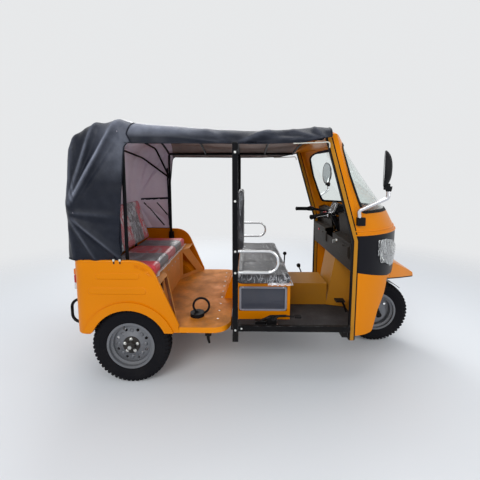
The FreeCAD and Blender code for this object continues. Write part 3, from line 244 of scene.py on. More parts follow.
def fresh(name, **sockets):
    """New material with values on its shader's own sockets, and with its tree and shader."""
    material = bpy.data.materials.new(name)
    material.use_nodes = True
    shader = material.node_tree.nodes["Principled BSDF"]
    for key, value in sockets.items():
        shader.inputs[key.replace("_", " ")].default_value = value
    return material, material.node_tree, shader


def dusted(tree, shader, surface, **sockets):
    """Dust over a colour, which is a link or a plain value, on the shader's colour and roughness."""
    dusty = fed(tree, placed(tree, dust, **sockets), Colour=surface)
    tree.links.new(dusty.outputs["Colour"], shader.inputs["Base Color"])
    tree.links.new(dusty.outputs["Roughness"], shader.inputs["Roughness"])
    return dusty.outputs["Colour"]


def raised(tree, shader, height, distance, strength):
    """Relief of the shader's surface from a height."""
    relief = node(tree, "ShaderNodeBump", Distance=distance, Strength=strength)
    tree.links.new(height, relief.inputs["Height"])
    tree.links.new(relief.outputs["Normal"], shader.inputs["Normal"])


def finish(name, colour, rough, dust_height=0.6, dust_amount=0.25, patches=0.12, dust_colour=(0.30, 0.25, 0.19, 1),
           ripple_scale=60.0, ripple_fine=0.4, bump=0.0004, chipped=0.0, pattern=None, shine=0.16, **sockets):
    """Material of one coloured stuff, with dust, slow colour patches, surface ripple and chipped edges.
    A pattern is a group with a Height of its own that is added to the ripple."""
    material, tree, shader = fresh(name, Specular_IOR_Level=shine, **sockets)
    surface = dusted(tree, shader, (*colour, 1), Roughness=rough, Height=dust_height, Amount=dust_amount,
                     Patches=patches, Dust_Colour=dust_colour)
    if chipped:
        knocked = placed(tree, chips, Amount=chipped)
        tree.links.new(surface, knocked.inputs["Colour"])
        tree.links.new(knocked.outputs["Colour"], shader.inputs["Base Color"])
    height = placed(tree, ripple, Scale=ripple_scale, Fine=ripple_fine).outputs["Height"]
    if pattern:
        height = math_node(tree, "MULTIPLY", height, 0.25)
        height = math_node(tree, "ADD", height, placed(tree, pattern).outputs["Height"])
    raised(tree, shader, height, bump, 0.6)
    return material


def dress(material, *names):
    """CAD nodes that keep their shape wear this material."""
    for name in names:
        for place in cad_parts[name].material_slots:
            place.material = material


black_steel = finish("black_steel", (0.004, 0.004, 0.005), 0.40, dust_amount=0.10, chipped=0.5, ripple_scale=45,
                     bump=0.0006, shine=0.07)
yellow_paint = finish("yellow_paint", (0.71, 0.215, 0.0003), 0.34, dust_height=0.45, dust_amount=0.08, patches=0.22,
                      dust_colour=(0.34, 0.20, 0.07, 1), ripple_scale=24, ripple_fine=0.25, bump=0.0005, shine=0.07,
                      Coat_Weight=0.10, Coat_Roughness=0.05)
# the floor's yellow paint under a heavy brown dust layer, which paints the shade on the floor as well as its dust
shaded_floor_paint = finish("shaded_floor_paint", (0.78, 0.25, 0.003), 0.45, dust_height=0.15, dust_amount=3.2, patches=0.3,
                     dust_colour=(0.28, 0.125, 0.048, 1), ripple_scale=14, bump=0.0007)
# duller yellow under an even brown dust layer: painted shade on the seat riser
shaded_riser_paint = finish("shaded_riser_paint", (0.74, 0.29, 0.045), 0.45, dust_height=2.4, dust_amount=0.8, patches=0.3,
                     dust_colour=(0.50, 0.26, 0.11, 1), ripple_scale=14, bump=0.0007)
cast_metal = finish("cast_metal", (0.20, 0.20, 0.21), 0.5, dust_amount=0.5, ripple_scale=90, ripple_fine=0.9,
                    bump=0.0012, Metallic=0.8)
dress(black_steel, "chassis_frame", "partition_frame", "side_sills", "fork", "rear_axle", "leaf_springs",
      "roof_rails", "hood_bows", "backrest_frame", "rear_guards")
dress(yellow_paint, "rear_side_panel_left", "rear_side_panel_right", "rear_back_panel", "wheel_houses", "nose_cowl",
      "leg_shields", "cab_frame", "visor", "driver_seat_box")
# darker, duller copy of the yellow paint: painted shade on the door posts and the front bulkhead
shaded_post_paint = finish("shaded_post_paint", (0.46, 0.195, 0.012), 0.40, dust_height=1.2, dust_amount=0.3, patches=0.3,
                    dust_colour=(0.22, 0.14, 0.06, 1), ripple_scale=30, bump=0.0008, shine=0.12)
dress(shaded_post_paint, "door_posts", "front_bulkhead")
dress(shaded_floor_paint, "passenger_floor")
dress(shaded_riser_paint, "seat_riser")
dress(cast_metal, "engine_block", "exhaust")


# Fasteners and trim on the frame: bolt heads through the pillars and the sills, a row of screws across the
# passenger floor, zinc plated, each a washer under a six-sided head. They are sunk a little into the sheet.
def piece(name, form, body, slot, *materials, sharp=40):
    """Finished object from a mesh being built: smooth and riding on its body. Its slot is not used."""
    bmesh.ops.recalc_face_normals(form, faces=form.faces)
    mesh = meshed(name, form)
    mesh.shade_smooth()
    if sharp:
        mesh.set_sharp_from_angle(angle=math.radians(sharp))
    for material in materials:
        mesh.materials.append(material)
    made = linked(name, mesh)
    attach(made, body)
    return made


def skinned(form, rings, closed=False):
    """Faces between each ring of points and the next, and from the last to the first where closed."""
    faces = []
    for near_ring, far_ring in list(zip(rings, rings[1:])) + ([(rings[-1], rings[0])] if closed else []):
        count = len(near_ring)
        faces += [form.faces.new((near_ring[i], near_ring[(i + 1) % count], far_ring[(i + 1) % count], far_ring[i]))
                  for i in range(count)]
    return faces


def painted(faces, paint):
    """Give faces the material of this number."""
    for face in faces:
        face.material_index = paint


def turned(form, start, end, radii, sides=20, paint=0):
    """Round solid along an axis; radii are (share of the way, radius) pairs."""
    start, end = Vector(start), Vector(end)
    turn = (end - start).to_track_quat("Z", "Y").to_matrix()
    length = (end - start).length
    angles = np.linspace(0, 2 * math.pi, sides, endpoint=False)
    rings = [[form.verts.new(start + turn @ Vector((radius * math.cos(a), radius * math.sin(a), share * length)))
              for a in angles] for share, radius in radii]
    painted([form.faces.new(rings[0][::-1]), form.faces.new(rings[-1])] + skinned(form, rings), paint)


def bolt(form, place, axis, size=0.008, paint=0):
    """Washer and six-sided head standing on a surface."""
    place, axis = Vector(place), Vector(axis).normalized()
    turned(form, place - axis * 0.002, place + axis * size * 0.25, [(0, size * 1.25), (1, size * 1.25)], 16, paint)
    turned(form, place + axis * size * 0.2, place + axis * size * 0.95,
           [(0, size * 0.82), (0.8, size * 0.82), (1, size * 0.6)], 6, paint)


def slab(form, low, high, edge=0.003, paint=0, turn=None, about=(0, 0, 0)):
    """Box between two corners with its edges rounded over."""
    low, high = Vector([min(pair) for pair in zip(low, high)]), Vector([max(pair) for pair in zip(low, high)])
    made = bmesh.ops.create_cube(form, size=1.0)["verts"]
    size = high - low
    bmesh.ops.scale(form, vec=size, verts=made)
    bmesh.ops.translate(form, vec=(high + low) / 2, verts=made)
    edges = list({e for v in made for e in v.link_edges})
    painted({f for v in made for f in v.link_faces}, paint)
    result = bmesh.ops.bevel(form, geom=edges, offset=min(edge, min(size) * 0.45), segments=3, profile=0.7,
                             affect="EDGES", clamp_overlap=True, material=-1)
    points = list({v for f in result["faces"] for v in f.verts} | {v for v in made if v.is_valid})
    if turn is not None:
        bmesh.ops.rotate(form, cent=about, matrix=turn, verts=points)
    return points


zinc = finish("zinc_plate", (0.62, 0.62, 0.60), 0.32, dust_amount=0.15, ripple_scale=150, bump=0.0003, Metallic=1.0)
rear_axle_x = -0.8965
pillar_face_y = 0.648
frame_bolts = bmesh.new()
for side in (-1, 1):
    for height in (0.405, 0.807, 0.953, 1.286, 1.60):
        bolt(frame_bolts, (rear_axle_x + 0.731, side * pillar_face_y, height), (0, side, 0), 0.0062)
    bolt(frame_bolts, (-0.125, side * 0.600, 0.392), (0, side, 0), 0.006)
for y in np.linspace(-0.52, 0.52, 9):
    bolt(frame_bolts, (rear_axle_x + 0.60, y, 0.424), (0, 0, 1), 0.005)
for y in np.linspace(-0.24, 0.24, 5):
    bolt(frame_bolts, (rear_axle_x + 0.144, y, 0.66), (1, 0, 0), 0.005)
piece("frame_bolts", frame_bolts, "chassis", "chrome_bar", zinc)


# Rolled edge of the tub. The sheet is turned over a wire along the back, the sides and the sloping fronts,
# and painted with the tub. The tube follows the middle of the wall and stands just proud of both faces.
def rounded(points, radius, steps=8):
    """Points of a run with each inner corner turned through an arc."""
    points = [Vector(p) for p in points]
    line = [points[0]]
    for before, corner, after in zip(points, points[1:], points[2:]):
        back, ahead = (before - corner), (after - corner)
        reach = min(radius, back.length * 0.49, ahead.length * 0.49)
        a, b = corner + back.normalized() * reach, corner + ahead.normalized() * reach
        for i in range(steps + 1):
            t = i / steps
            line.append(a * (1 - t) ** 2 + corner * 2 * t * (1 - t) + b * t ** 2)
    return line + [points[-1]]


def pipe(form, points, radius, sides=12, paint=0, closed=False, flat=1.0):
    """Tube along points; radius is one value or one for each point, flat squeezes it."""
    points = [Vector(p) for p in points]
    count = len(points)
    radii = radius if isinstance(radius, (list, tuple, np.ndarray)) else [radius] * count
    rings = []
    across = None
    for i, point in enumerate(points):
        if closed:
            ahead = points[(i + 1) % count] - points[i - 1]
        else:
            ahead = points[min(i + 1, count - 1)] - points[max(i - 1, 0)]
        ahead.normalize()
        if across is None:
            across = ahead.orthogonal().normalized()
        across = (across - ahead * across.dot(ahead)).normalized()
        up = ahead.cross(across)
        rings.append([form.verts.new(point + (across * math.cos(a) + up * math.sin(a) * flat) * radii[i])
                      for a in np.linspace(0, 2 * math.pi, sides, endpoint=False)])
    faces = skinned(form, rings, closed)
    if not closed:
        faces += [form.faces.new(rings[0][::-1]), form.faces.new(rings[-1])]
    painted(faces, paint)


tub_back_x = rear_axle_x - 0.384
bead_y, bead_z = 0.6405, 0.880
right = rounded([(rear_axle_x + 0.3385, -bead_y, 0.430), (rear_axle_x + 0.146, -bead_y, bead_z),
                 (rear_axle_x - 0.1, -bead_y, bead_z)], 0.145, 14)
corner = rounded([right[-1], (tub_back_x + 0.0095, -bead_y, bead_z), (tub_back_x + 0.0095, 0, bead_z)], 0.1, 12)
half_bead = right[:-1] + corner
bead_path = half_bead + [Vector((p.x, -p.y, p.z)) for p in half_bead[-2::-1]]
tub_bead = bmesh.new()
pipe(tub_bead, bead_path, 0.0112)
bend_middle = Vector((rear_axle_x + 0.060, 0, 0.785))
for step in np.linspace(0.10, 0.90, 10):
    bend_point = right[1 + int(step * 14)]
    inward = (Vector((bend_middle.x, bend_point.y, bend_middle.z)) - bend_point).normalized()
    for side in (-1, 1):
        mark = [Vector((p.x, side * 0.6503, p.z)) for p in (bend_point + inward * 0.016, bend_point + inward * 0.036)]
        pipe(tub_bead, mark, 0.0040, 8)
piece("tub_edge_bead", tub_bead, "chassis", "body_yellow", yellow_paint)


# Passengers' bench: a foam cushion and a leaning backrest in red and grey vinyl, five bands across with sewn
# channels between them, still under the maker's clear film. Foam is swollen by a short cloth simulation.
grain, given, out = effect("vinyl_grain", [("Scale", VALUE, 260.0)], [("Height", VALUE)])
cells = sampled(grain, "ShaderNodeTexVoronoi", {"feature": "DISTANCE_TO_EDGE"})
grain.links.new(given.outputs["Scale"], cells.inputs["Scale"])
folds = sampled(grain, "ShaderNodeTexNoise", Scale=22.0, Detail=4.0, Roughness=0.55)
grain.links.new(math_node(grain, "ADD", math_node(grain, "MULTIPLY", cells.outputs["Distance"], 0.5),
                          math_node(grain, "MULTIPLY", folds.outputs["Fac"], 1.5)), out.inputs["Height"])

stitches, given, out = effect(
    "stitch_row", [("Offset", VALUE, 0.0), ("Along", VALUE, 0.0), ("Pitch", VALUE, 0.009), ("Thread", VALUE, 0.0011)],
    [("Mask", VALUE)])
near = math_node(stitches, "LESS_THAN", math_node(stitches, "ABSOLUTE", given.outputs["Offset"]),
                 given.outputs["Thread"])
phase = math_node(stitches, "FRACT", math_node(stitches, "DIVIDE", given.outputs["Along"], given.outputs["Pitch"]))
stitches.links.new(math_node(stitches, "MULTIPLY", near, math_node(stitches, "LESS_THAN", phase, 0.62)),
                   out.inputs["Mask"])


def vinyl(name, colours, seams, thread, rough=0.36):
    """Vinyl in bands across the vehicle: colours from the middle outward, changing at each seam's distance."""
    material, tree, shader = fresh(name, Specular_IOR_Level=0.25)
    axes = sampled(tree, "ShaderNodeSeparateXYZ")
    aside = math_node(tree, "ABSOLUTE", axes.outputs["Y"])
    surface = (*colours[0], 1)
    for colour, seam in zip(colours[1:], seams):
        surface = mix_colour(tree, math_node(tree, "GREATER_THAN", aside, seam), surface, (*colour, 1))
    run = math_node(tree, "ADD", axes.outputs["X"], axes.outputs["Z"])
    sewn = 0.0
    for seam in seams:
        for gap in (-0.006, 0.006):
            offset = math_node(tree, "SUBTRACT", aside, seam + gap)
            row = fed(tree, placed(tree, stitches), Offset=offset, Along=run)
            sewn = math_node(tree, "MAXIMUM", sewn, row.outputs["Mask"])
    dusted(tree, shader, mix_colour(tree, sewn, surface, (*thread, 1)), Roughness=rough, Height=1.4, Amount=0.10,
           Patches=0.35)
    raised(tree, shader, placed(tree, grain).outputs["Height"], 0.0008, 0.55)
    return material


seat_red, seat_grey, piping_red = (0.72, 0.045, 0.065), (0.115, 0.100, 0.105), (0.52, 0.030, 0.045)
seat_seams = (0.13, 0.37)
bench_vinyl = vinyl("bench_vinyl", (piping_red, seat_grey, seat_red), seat_seams, (0.5, 0.45, 0.42))


def foam(name, size, edge, voxel=0.0095):
    """Voxel mesh of a block of foam about the origin with well rounded edges."""
    form = bmesh.new()
    slab(form, [-v / 2 for v in size], [v / 2 for v in size], edge)
    block = linked(name, meshed(name, form))
    remesh = block.modifiers.new("voxels", "REMESH")
    remesh.mode = "VOXEL"
    remesh.voxel_size = voxel
    return applied(block)


def applied(block):
    """The object with its modifiers turned into its mesh."""
    done = bpy.data.meshes.new_from_object(block.evaluated_get(bpy.context.evaluated_depsgraph_get()))
    block.modifiers.clear()
    block.data = done
    return block


def swollen(block, cap, pressure=4.0):
    """Air pressure in a short cloth simulation rounds the foam out; no point moves further than cap."""
    start = np.array([v.co for v in block.data.vertices])
    cloth = block.modifiers.new("swell", "CLOTH")
    cloth.settings.quality = 4
    cloth.settings.mass = 0.3
    cloth.settings.tension_stiffness = 15
    cloth.settings.compression_stiffness = 15
    cloth.settings.bending_stiffness = 0.5
    cloth.settings.use_pressure = True
    cloth.settings.uniform_pressure_force = pressure
    cloth.settings.effector_weights.gravity = 0
    cloth.collision_settings.use_collision = False
    cloth.point_cache.frame_start = 1
    cloth.point_cache.frame_end = 20
    for step in range(1, 21):
        bpy.context.scene.frame_set(step)
    block = applied(block)
    bpy.context.scene.frame_set(1)
    move = np.array([v.co for v in block.data.vertices]) - start
    reach = np.linalg.norm(move, axis=1)
    move *= (np.minimum(reach, cap) / np.maximum(reach, 1e-9))[:, None]
    block.data.vertices.foreach_set("co", (start + move).astype(np.float32).ravel())
    return block


def subdivided(block):
    """One smooth subdivision, applied."""
    block.modifiers.new("smooth", "SUBSURF").levels = 1
    return applied(block)


def upholstered(name, size, edge, cap, centre, lean, seams, top, material, node_name, depth=0.007):
    """Cushion swollen from foam, sewn down along its seams on the side that faces top, and set in place."""
    block = foam(name, [v - cap * 0.9 for v in size], edge)
    block = swollen(block, cap)
    block = subdivided(block)
    points = np.array([v.co for v in block.data.vertices])
    half = np.array(size) / 2
    points = np.clip(points, -half, half)
    face = np.clip((points @ np.array(top)) / (half @ np.abs(top)), 0, 1)
    wrinkle = np.array([noise.noise(Vector(p) * 9.0) for p in points]) * 0.0022
    for seam in seams:
        near = np.exp(-((np.abs(points[:, 1]) - seam) / 0.0065) ** 2)
        points -= np.outer(near * depth * (0.35 + 0.65 * face), top)
    points += np.outer(wrinkle * face, top)
    turn = np.array(Matrix.Rotation(lean, 3, "Y"))
    points = points @ turn.T + np.array(centre)
    block.data.vertices.foreach_set("co", points.astype(np.float32).ravel())
    block.data.shade_smooth()
    block.data.materials.clear()
    block.data.materials.append(material)
    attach(block, "chassis")
    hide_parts(node_name)
    return block


deck_top_z = 0.720
bench = upholstered("bench_cushion", (0.415, 1.04, 0.092), 0.026, 0.012, (rear_axle_x - 0.0425, 0, deck_top_z + 0.0465),
                    0.0, seat_seams, (0, 0, 1), bench_vinyl, "passenger_cushion")
lean = math.radians(15)
rise, back = 0.210, 0.031
backrest_place = (rear_axle_x - 0.210 - rise * math.sin(lean) - back * math.cos(lean), 0,
                  0.8133 + rise * math.cos(lean) - back * math.sin(lean))
bench_back = upholstered("bench_backrest", (0.062, 1.04, 0.420), 0.022, 0.009, backrest_place, -lean, seat_seams,
                         (1, 0, 0), bench_vinyl, "passenger_backrest", depth=0.006)


# Clear film over the seats. Thin polythene, heat shrunk and crinkled, wrapped over each cushion with its loose
# # hem hanging a little below; it shows mostly as white streaks where it is creased, which are painted highlights.
crinkle, given, out = effect(
    "film_crinkle",
    [("Scale", VALUE, 9.0), ("Turn", "NodeSocketVector", (0, 0, 0)), ("Stretch", "NodeSocketVector", (1, 1, 1))],
    [("Mask", VALUE), ("Height", VALUE)])
stretch = sampled(crinkle, "ShaderNodeMapping")
crinkle.links.new(given.outputs["Turn"], stretch.inputs["Rotation"])
crinkle.links.new(given.outputs["Stretch"], stretch.inputs["Scale"])
creases = node(crinkle, "ShaderNodeTexNoise", Detail=6.0, Roughness=0.60, Distortion=0.7)
crinkle.links.new(stretch.outputs["Vector"], creases.inputs["Vector"])
crinkle.links.new(given.outputs["Scale"], creases.inputs["Scale"])
off_line = math_node(crinkle, "ABSOLUTE", math_node(crinkle, "SUBTRACT", creases.outputs["Fac"], 0.5))
line = math_node(crinkle, "SUBTRACT", 1.0, math_node(crinkle, "MULTIPLY", off_line, 17.0), True)
broad_creases = sampled(crinkle, "ShaderNodeTexNoise", Scale=5.0, Detail=2.0, Roughness=0.5)
# the bright share marks where the crinkles catch the light: a painted highlight
glint_patches = math_node(crinkle, "SUBTRACT", broad_creases.outputs["Fac"], 0.38, True)
glint_patches = math_node(crinkle, "MULTIPLY", glint_patches, 4.5, True)
crinkle.links.new(math_node(crinkle, "MULTIPLY", line, glint_patches, True), out.inputs["Mask"])
crinkle.links.new(creases.outputs["Fac"], out.inputs["Height"])


def polythene(name, turn, stretch_by, glint_streaks, haze):
    """Clear film whose creases run one way, with a painted highlight as a white streak along each crease."""
    material, tree, shader = fresh(name, Base_Color=(0.86, 0.86, 0.88, 1), Roughness=0.16, Specular_IOR_Level=0.35)
    film = placed(tree, crinkle, Scale=1.0, Turn=turn, Stretch=stretch_by)
    painted_glints = math_node(tree, "MULTIPLY", film.outputs["Mask"], glint_streaks)
    tree.links.new(math_node(tree, "ADD", painted_glints, haze, True), shader.inputs["Alpha"])
    raised(tree, shader, film.outputs["Height"], 0.005, 0.8)
    return material


back_film = polythene("back_film", (0, 0, 0), (25.0, 25.0, 4.2), 0.80, 0.17)
pad_film = polythene("pad_film", (0, 0, 0), (34.0, 16.0, 3.0), 0.40, 0.0)
cushion_film = polythene("cushion_film", (0, 0, 0.7), (30.0, 3.0, 14.0), 0.50, 0.03)
hem_film = polythene("hem_film", (0, 0, 0), (9.0, 22.0, 9.0), 0.75, 0.30)


def wrapped(name, cushion, film_kind, keep, lift=0.0018):
    """Film stretched over the part of a cushion whose face centres and normals pass keep."""
    form = bmesh.new()
    form.from_mesh(cushion.data)
    drop = [f for f in form.faces if not keep(f.calc_center_median(), f.normal)]
    bmesh.ops.delete(form, geom=drop, context="FACES")
    normals = {v: v.normal.copy() for v in form.verts}
    for v, normal in normals.items():
        crease = 1 - abs(noise.noise(Vector((v.co.x * 14, v.co.y * 7, v.co.z * 12))) * 2)
        v.co += normal * (lift + 0.0035 * max(0, crease - 0.55))
    mesh = meshed(name, form)
    mesh.shade_smooth()
    mesh.materials.append(film_kind)
    made = linked(name, mesh)
    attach(made, "chassis")


wrapped("bench_film", bench, cushion_film, lambda c, n: n.z > -0.2)
wrapped("bench_back_film", bench_back, back_film, lambda c, n: n.x > -0.3)


def loose_hem(name, start, end, drop, seed):
    """Frayed strip of film that hangs below a cushion's edge, ruffled, with a bright rolled rim."""
    start, end = Vector(start), Vector(end)
    along = (end - start).normalized()
    out = along.cross(Vector((0, 0, 1)))
    out = -out if out.dot(start - Vector((start.x * 0.5, 0, start.z))) < 0 else out
    columns = int((end - start).length / 0.008)
    form = bmesh.new()
    grid = []
    for i in range(columns + 1):
        share = i / columns
        foot = start.lerp(end, share)
        ruffle = noise.noise(Vector((share * 31, seed, 0)))
        hang = drop * (0.75 + 0.45 * noise.noise(Vector((share * 13, seed, 4))))
        grid.append([form.verts.new(foot + out * (0.004 + 0.011 * ruffle * (j / 4)) + Vector((0, 0, -hang * j / 4)))
                     for j in range(5)])
    for left, right in zip(grid, grid[1:]):
        for j in range(4):
            form.faces.new((left[j], left[j + 1], right[j + 1], right[j]))
    rim = [column[-1].co.copy() for column in grid]
    made = piece(name, form, "chassis", "seat_vinyl", hem_film, sharp=0)
    roll = bmesh.new()
    pipe(roll, rim, 0.0026, 6)
    piece(name + "_rim", roll, "chassis", "seat_vinyl", film_rim)


film_rim = finish("film_rim", (0.80, 0.80, 0.80), 0.25, dust_amount=0.05, ripple_scale=90, bump=0.0006, shine=0.5)
loose_hem("bench_film_hem", (rear_axle_x + 0.1665, -0.515, 0.760), (rear_axle_x + 0.1665, 0.515, 0.760), 0.030,
          1.0)


# Driver's bench and pad: grey black vinyl over foam, sewn in wide panels, under the same film. The cushion
# lies on the seat box; the pad is screwed to the two rails between the pillars.
driver_vinyl = vinyl("driver_vinyl", ((0.042, 0.042, 0.044), (0.026, 0.026, 0.030)), (0.19,), (0.30, 0.30, 0.30), 0.40)
driver_seat = upholstered("driver_seat_cushion", (0.392, 1.12, 0.065), 0.020, 0.009, (0.0335, 0, 0.7228), 0.0,
                          (0.19,), (0, 0, 1), driver_vinyl, "driver_cushion", depth=0.005)
driver_pad = upholstered("driver_back_pad", (0.050, 0.66, 0.465), 0.018, 0.007, (-0.1347, 0, 1.1125), 0.0,
                         (0.19,), (1, 0, 0), driver_vinyl, "driver_backrest", depth=0.005)
wrapped("driver_seat_film", driver_seat, cushion_film, lambda c, n: n.z > -0.3)
loose_hem("driver_film_hem", (0.2310, -0.552, 0.712), (0.2310, 0.552, 0.712), 0.028, 7.0)
loose_hem("driver_film_end", (0.060, -0.5625, 0.712), (0.225, -0.5625, 0.712), 0.020, 3.0)
wrapped("driver_pad_film", driver_pad, pad_film, lambda c, n: n.x > -0.3)


# Canopy. Coated canvas, blue black outside and grey inside: a roof stretched over the bows from hem to hem, and a
# hood that runs on over the back of the seat and wraps its sides, drawn tight to a tie at each back corner.
weave, given, out = effect("canvas_weave", [("Threads", VALUE, 900.0)], [("Height", VALUE), ("Mask", VALUE)])
warp = sampled(weave, "ShaderNodeTexWave", {"wave_type": "BANDS", "bands_direction": "DIAGONAL"}, Distortion=0.3,
               Detail=1.0)
weave.links.new(given.outputs["Threads"], warp.inputs["Scale"])
slub = sampled(weave, "ShaderNodeTexNoise", Scale=16.0, Detail=6.0, Roughness=0.6)
fine = sampled(weave, "ShaderNodeTexNoise", Scale=420.0, Detail=2.0, Roughness=0.5)
weave.links.new(math_node(weave, "ADD", math_node(weave, "MULTIPLY", warp.outputs["Fac"], 0.25),
                          math_node(weave, "ADD", math_node(weave, "MULTIPLY", fine.outputs["Fac"], 0.5),
                                    math_node(weave, "MULTIPLY", slub.outputs["Fac"], 1.2))), out.inputs["Height"])
weave.links.new(slub.outputs["Fac"], out.inputs["Mask"])


def canvas(name, colour, worn, rough, shine, highlight_colour=None):
    """Coated canvas with a slow mottle of wear, a fine weave and a waxy shine. Where the sheet carries a painted
    highlight value, the colour is lightened towards the highlight colour: painted highlights on fold ridges and lit
    faces."""
    material, tree, shader = fresh(name, Specular_IOR_Level=shine)
    threads = placed(tree, weave)
    mottle = math_node(tree, "SUBTRACT", threads.outputs["Mask"], 0.4, True)
    mottled = mix_colour(tree, math_node(tree, "MULTIPLY", mottle, 1.4, True), (*colour, 1), (*worn, 1))
    if highlight_colour:
        fold_highlight = node(tree, "ShaderNodeAttribute", {"attribute_name": "fold_highlight"})
        highlight_share = math_node(tree, "ADD", threads.outputs["Mask"], 0.35)
        highlight_share = math_node(tree, "MULTIPLY", fold_highlight.outputs["Fac"], highlight_share, True)
        mottled = mix_colour(tree, highlight_share, mottled, (*highlight_colour, 1))
    dusted(tree, shader, mottled, Roughness=rough, Height=1.2, Amount=0.02, Patches=0.2,
           Dust_Colour=(0.16, 0.15, 0.15, 1))
    raised(tree, shader, threads.outputs["Height"], 0.0009, 0.6)
    return material


# outer canvas: its last colour is the painted highlight laid on the fold ridges and lit faces of the hood and roof
outer_canvas = canvas("outer_canvas", (0.009, 0.011, 0.018), (0.022, 0.025, 0.036), 0.34, 0.13, (0.29, 0.31, 0.375))
# the same grey lining in two copies: painted paler under the hood for light coming through the canvas, and painted
# darker under the roof where it is shaded
lit_hood_lining = canvas("lit_hood_lining", (0.86, 0.77, 0.86), (0.94, 0.87, 0.94), 0.75, 0.1)
shaded_roof_lining = canvas("shaded_roof_lining", (0.34, 0.27, 0.245), (0.42, 0.35, 0.32), 0.75, 0.1)


def eased(line, times):
    """Line rounded by averaging each point with its neighbours a number of times."""
    for _ in range(times):
        line[1:-1] = (line[:-2] + 2 * line[1:-1] + line[2:]) / 4
    return line


def resampled(points, count, smooth=0):
    """Points spread evenly along a line, rounded by repeated averaging."""
    points = np.array(points, float)
    step = np.concatenate([[0], np.cumsum(np.linalg.norm(np.diff(points, axis=0), axis=1))])
    spread = np.linspace(0, step[-1], count)
    return eased(np.stack([np.interp(spread, step, points[:, i]) for i in range(points.shape[1])], 1), smooth)


# the sheets' points are 9.5 mm apart: a fold or a painted highlight line narrower than these would break up into beads
narrowest_fold, narrowest_highlight = 0.014, 0.0078


def fold_place(x, z, start, end):
    """Share of the way along a fold, and distance to one side of it, in a side view."""
    start, end = np.array(start), np.array(end)
    length = np.linalg.norm(end - start)
    along = (end - start) / length
    ahead, above = x - start[0], z - start[1]
    return (ahead * along[0] + above * along[1]) / length, above * along[0] - ahead * along[1]


def crease(x, z, start, end, width, height, sharp=0.42):
    """Fold that runs from start to end: a ridge with a hollow beside it, widening as it goes."""
    s, e = fold_place(x, z, start, end)
    w = np.maximum(width * (0.35 + 0.65 * np.clip(s, 0, 1)), narrowest_fold)
    taper = np.clip(s / 0.32, 0, 1) * np.clip((1.06 - s) / 0.22, 0, 1)
    return height * taper * (np.exp(-np.abs(e / w) ** 1.3) - sharp * np.exp(-((e + 1.9 * w) / (1.4 * w)) ** 2))


def ridge_highlight(x, z, start, end, width):
    """Share of painted highlight along the ridge of a fold, sharper than the fold and fading towards its end."""
    s, e = fold_place(x, z, start, end)
    w = np.maximum(width * (0.25 + 0.75 * np.clip(s, 0, 1)), narrowest_highlight)
    return np.exp(-(e / w) ** 2) * np.clip((s - 0.06) / 0.12, 0, 1) * np.clip((1.02 - s) / 0.45, 0, 1)


def cloth_sheet(name, grid, thickness, outside, inside, fold_highlight):
    """Sheet from a grid of points (rows, columns, 3), thickened inward, its two faces in two materials, with the
    share of painted highlight at each point."""
    rows, columns = grid.shape[:2]
    mesh = bpy.data.meshes.new(name)
    faces = [(r * columns + c, r * columns + c + 1, (r + 1) * columns + c + 1, (r + 1) * columns + c)
             for r in range(rows - 1) for c in range(columns - 1)]
    mesh.from_pydata(grid.reshape(-1, 3).tolist(), [], faces)
    mesh.materials.append(outside)
    mesh.materials.append(inside)
    painted_highlight = mesh.attributes.new("fold_highlight", "FLOAT", "POINT")
    painted_highlight.data.foreach_set("value", np.clip(fold_highlight, 0, 1).astype(np.float32).ravel())
    made = linked(name, mesh)
    mesh.shade_smooth()
    thick = made.modifiers.new("thickness", "SOLIDIFY")
    thick.thickness = thickness
    thick.offset = -1.0
    thick.material_offset = 1
    thick.use_quality_normals = True
    return applied(made)


def pushed(grid, amount):
    """Grid moved outward along its own normals by an amount at each point."""
    down = np.gradient(grid, axis=0)
    right = np.gradient(grid, axis=1)
    normal = np.cross(right, down)
    normal /= np.maximum(np.linalg.norm(normal, axis=2, keepdims=True), 1e-9)
    return grid + normal * amount[..., None]


def rumple(grid, scale, seed):
    """Smooth noise at each point of a grid."""
    flat = grid.reshape(-1, 3) * scale + seed
    return np.array([noise.noise(Vector(p)) for p in flat]).reshape(grid.shape[:2])


def level_row(x, y, z):
    """Row of points at one distance across the vehicle."""
    return np.stack([x, np.full(len(x), y), z], 1)


half_width = 0.640
bend = 0.085
shoulder = resampled([(0.059, 1.797), (-0.018, 1.820), (-0.152, 1.800), (-0.262, 1.765), (-0.337, 1.700),
                      (-0.378, 1.630), (-0.391, 1.547), (-0.407, 1.345), (-0.430, 1.212), (-0.413, 1.144),
                      (-0.424, 0.893)], 132, 3)
run_length = np.linspace(0, 1, len(shoulder))
tangent = np.gradient(shoulder, axis=0)
tangent /= np.linalg.norm(tangent, axis=1, keepdims=True)
outward = np.stack([tangent[:, 1], -tangent[:, 0]], 1)
side_edge = shoulder - outward * bend
crown_rise = np.interp(run_length, [0, 0.33, 0.45, 1], [0.034, 0.036, 0.022, 0.004])
front_edge = resampled([(0.059, 1.663), (0.042, 1.663), (0.016, 1.635), (-0.013, 1.359), (-0.045, 1.025),
                        (-0.030, 0.893)], 76, 1)
hem = resampled([(-0.030, 0.893), (-0.290, 0.893)], len(shoulder) - len(front_edge) + 1)
lower_edge = np.concatenate([front_edge, hem[1:]])
side_rows, bend_rows, back_rows = 56, 9, 72
rows = []
for r in np.linspace(0, 1, side_rows, endpoint=False):
    line = lower_edge * (1 - r) + side_edge * r
    rows.append(level_row(line[:, 0], -half_width, line[:, 1]))
for angle in np.linspace(0, math.pi / 2, bend_rows, endpoint=False):
    line = side_edge + outward * bend * math.sin(angle)
    rows.append(level_row(line[:, 0], -half_width + bend * (1 - math.cos(angle)), line[:, 1]))
flat_half = half_width - bend
for share in np.linspace(-1, 1, back_rows):
    line = shoulder + outward * (crown_rise * (1 - share ** 2))[:, None]
    rows.append(level_row(line[:, 0], share * flat_half, line[:, 1]))
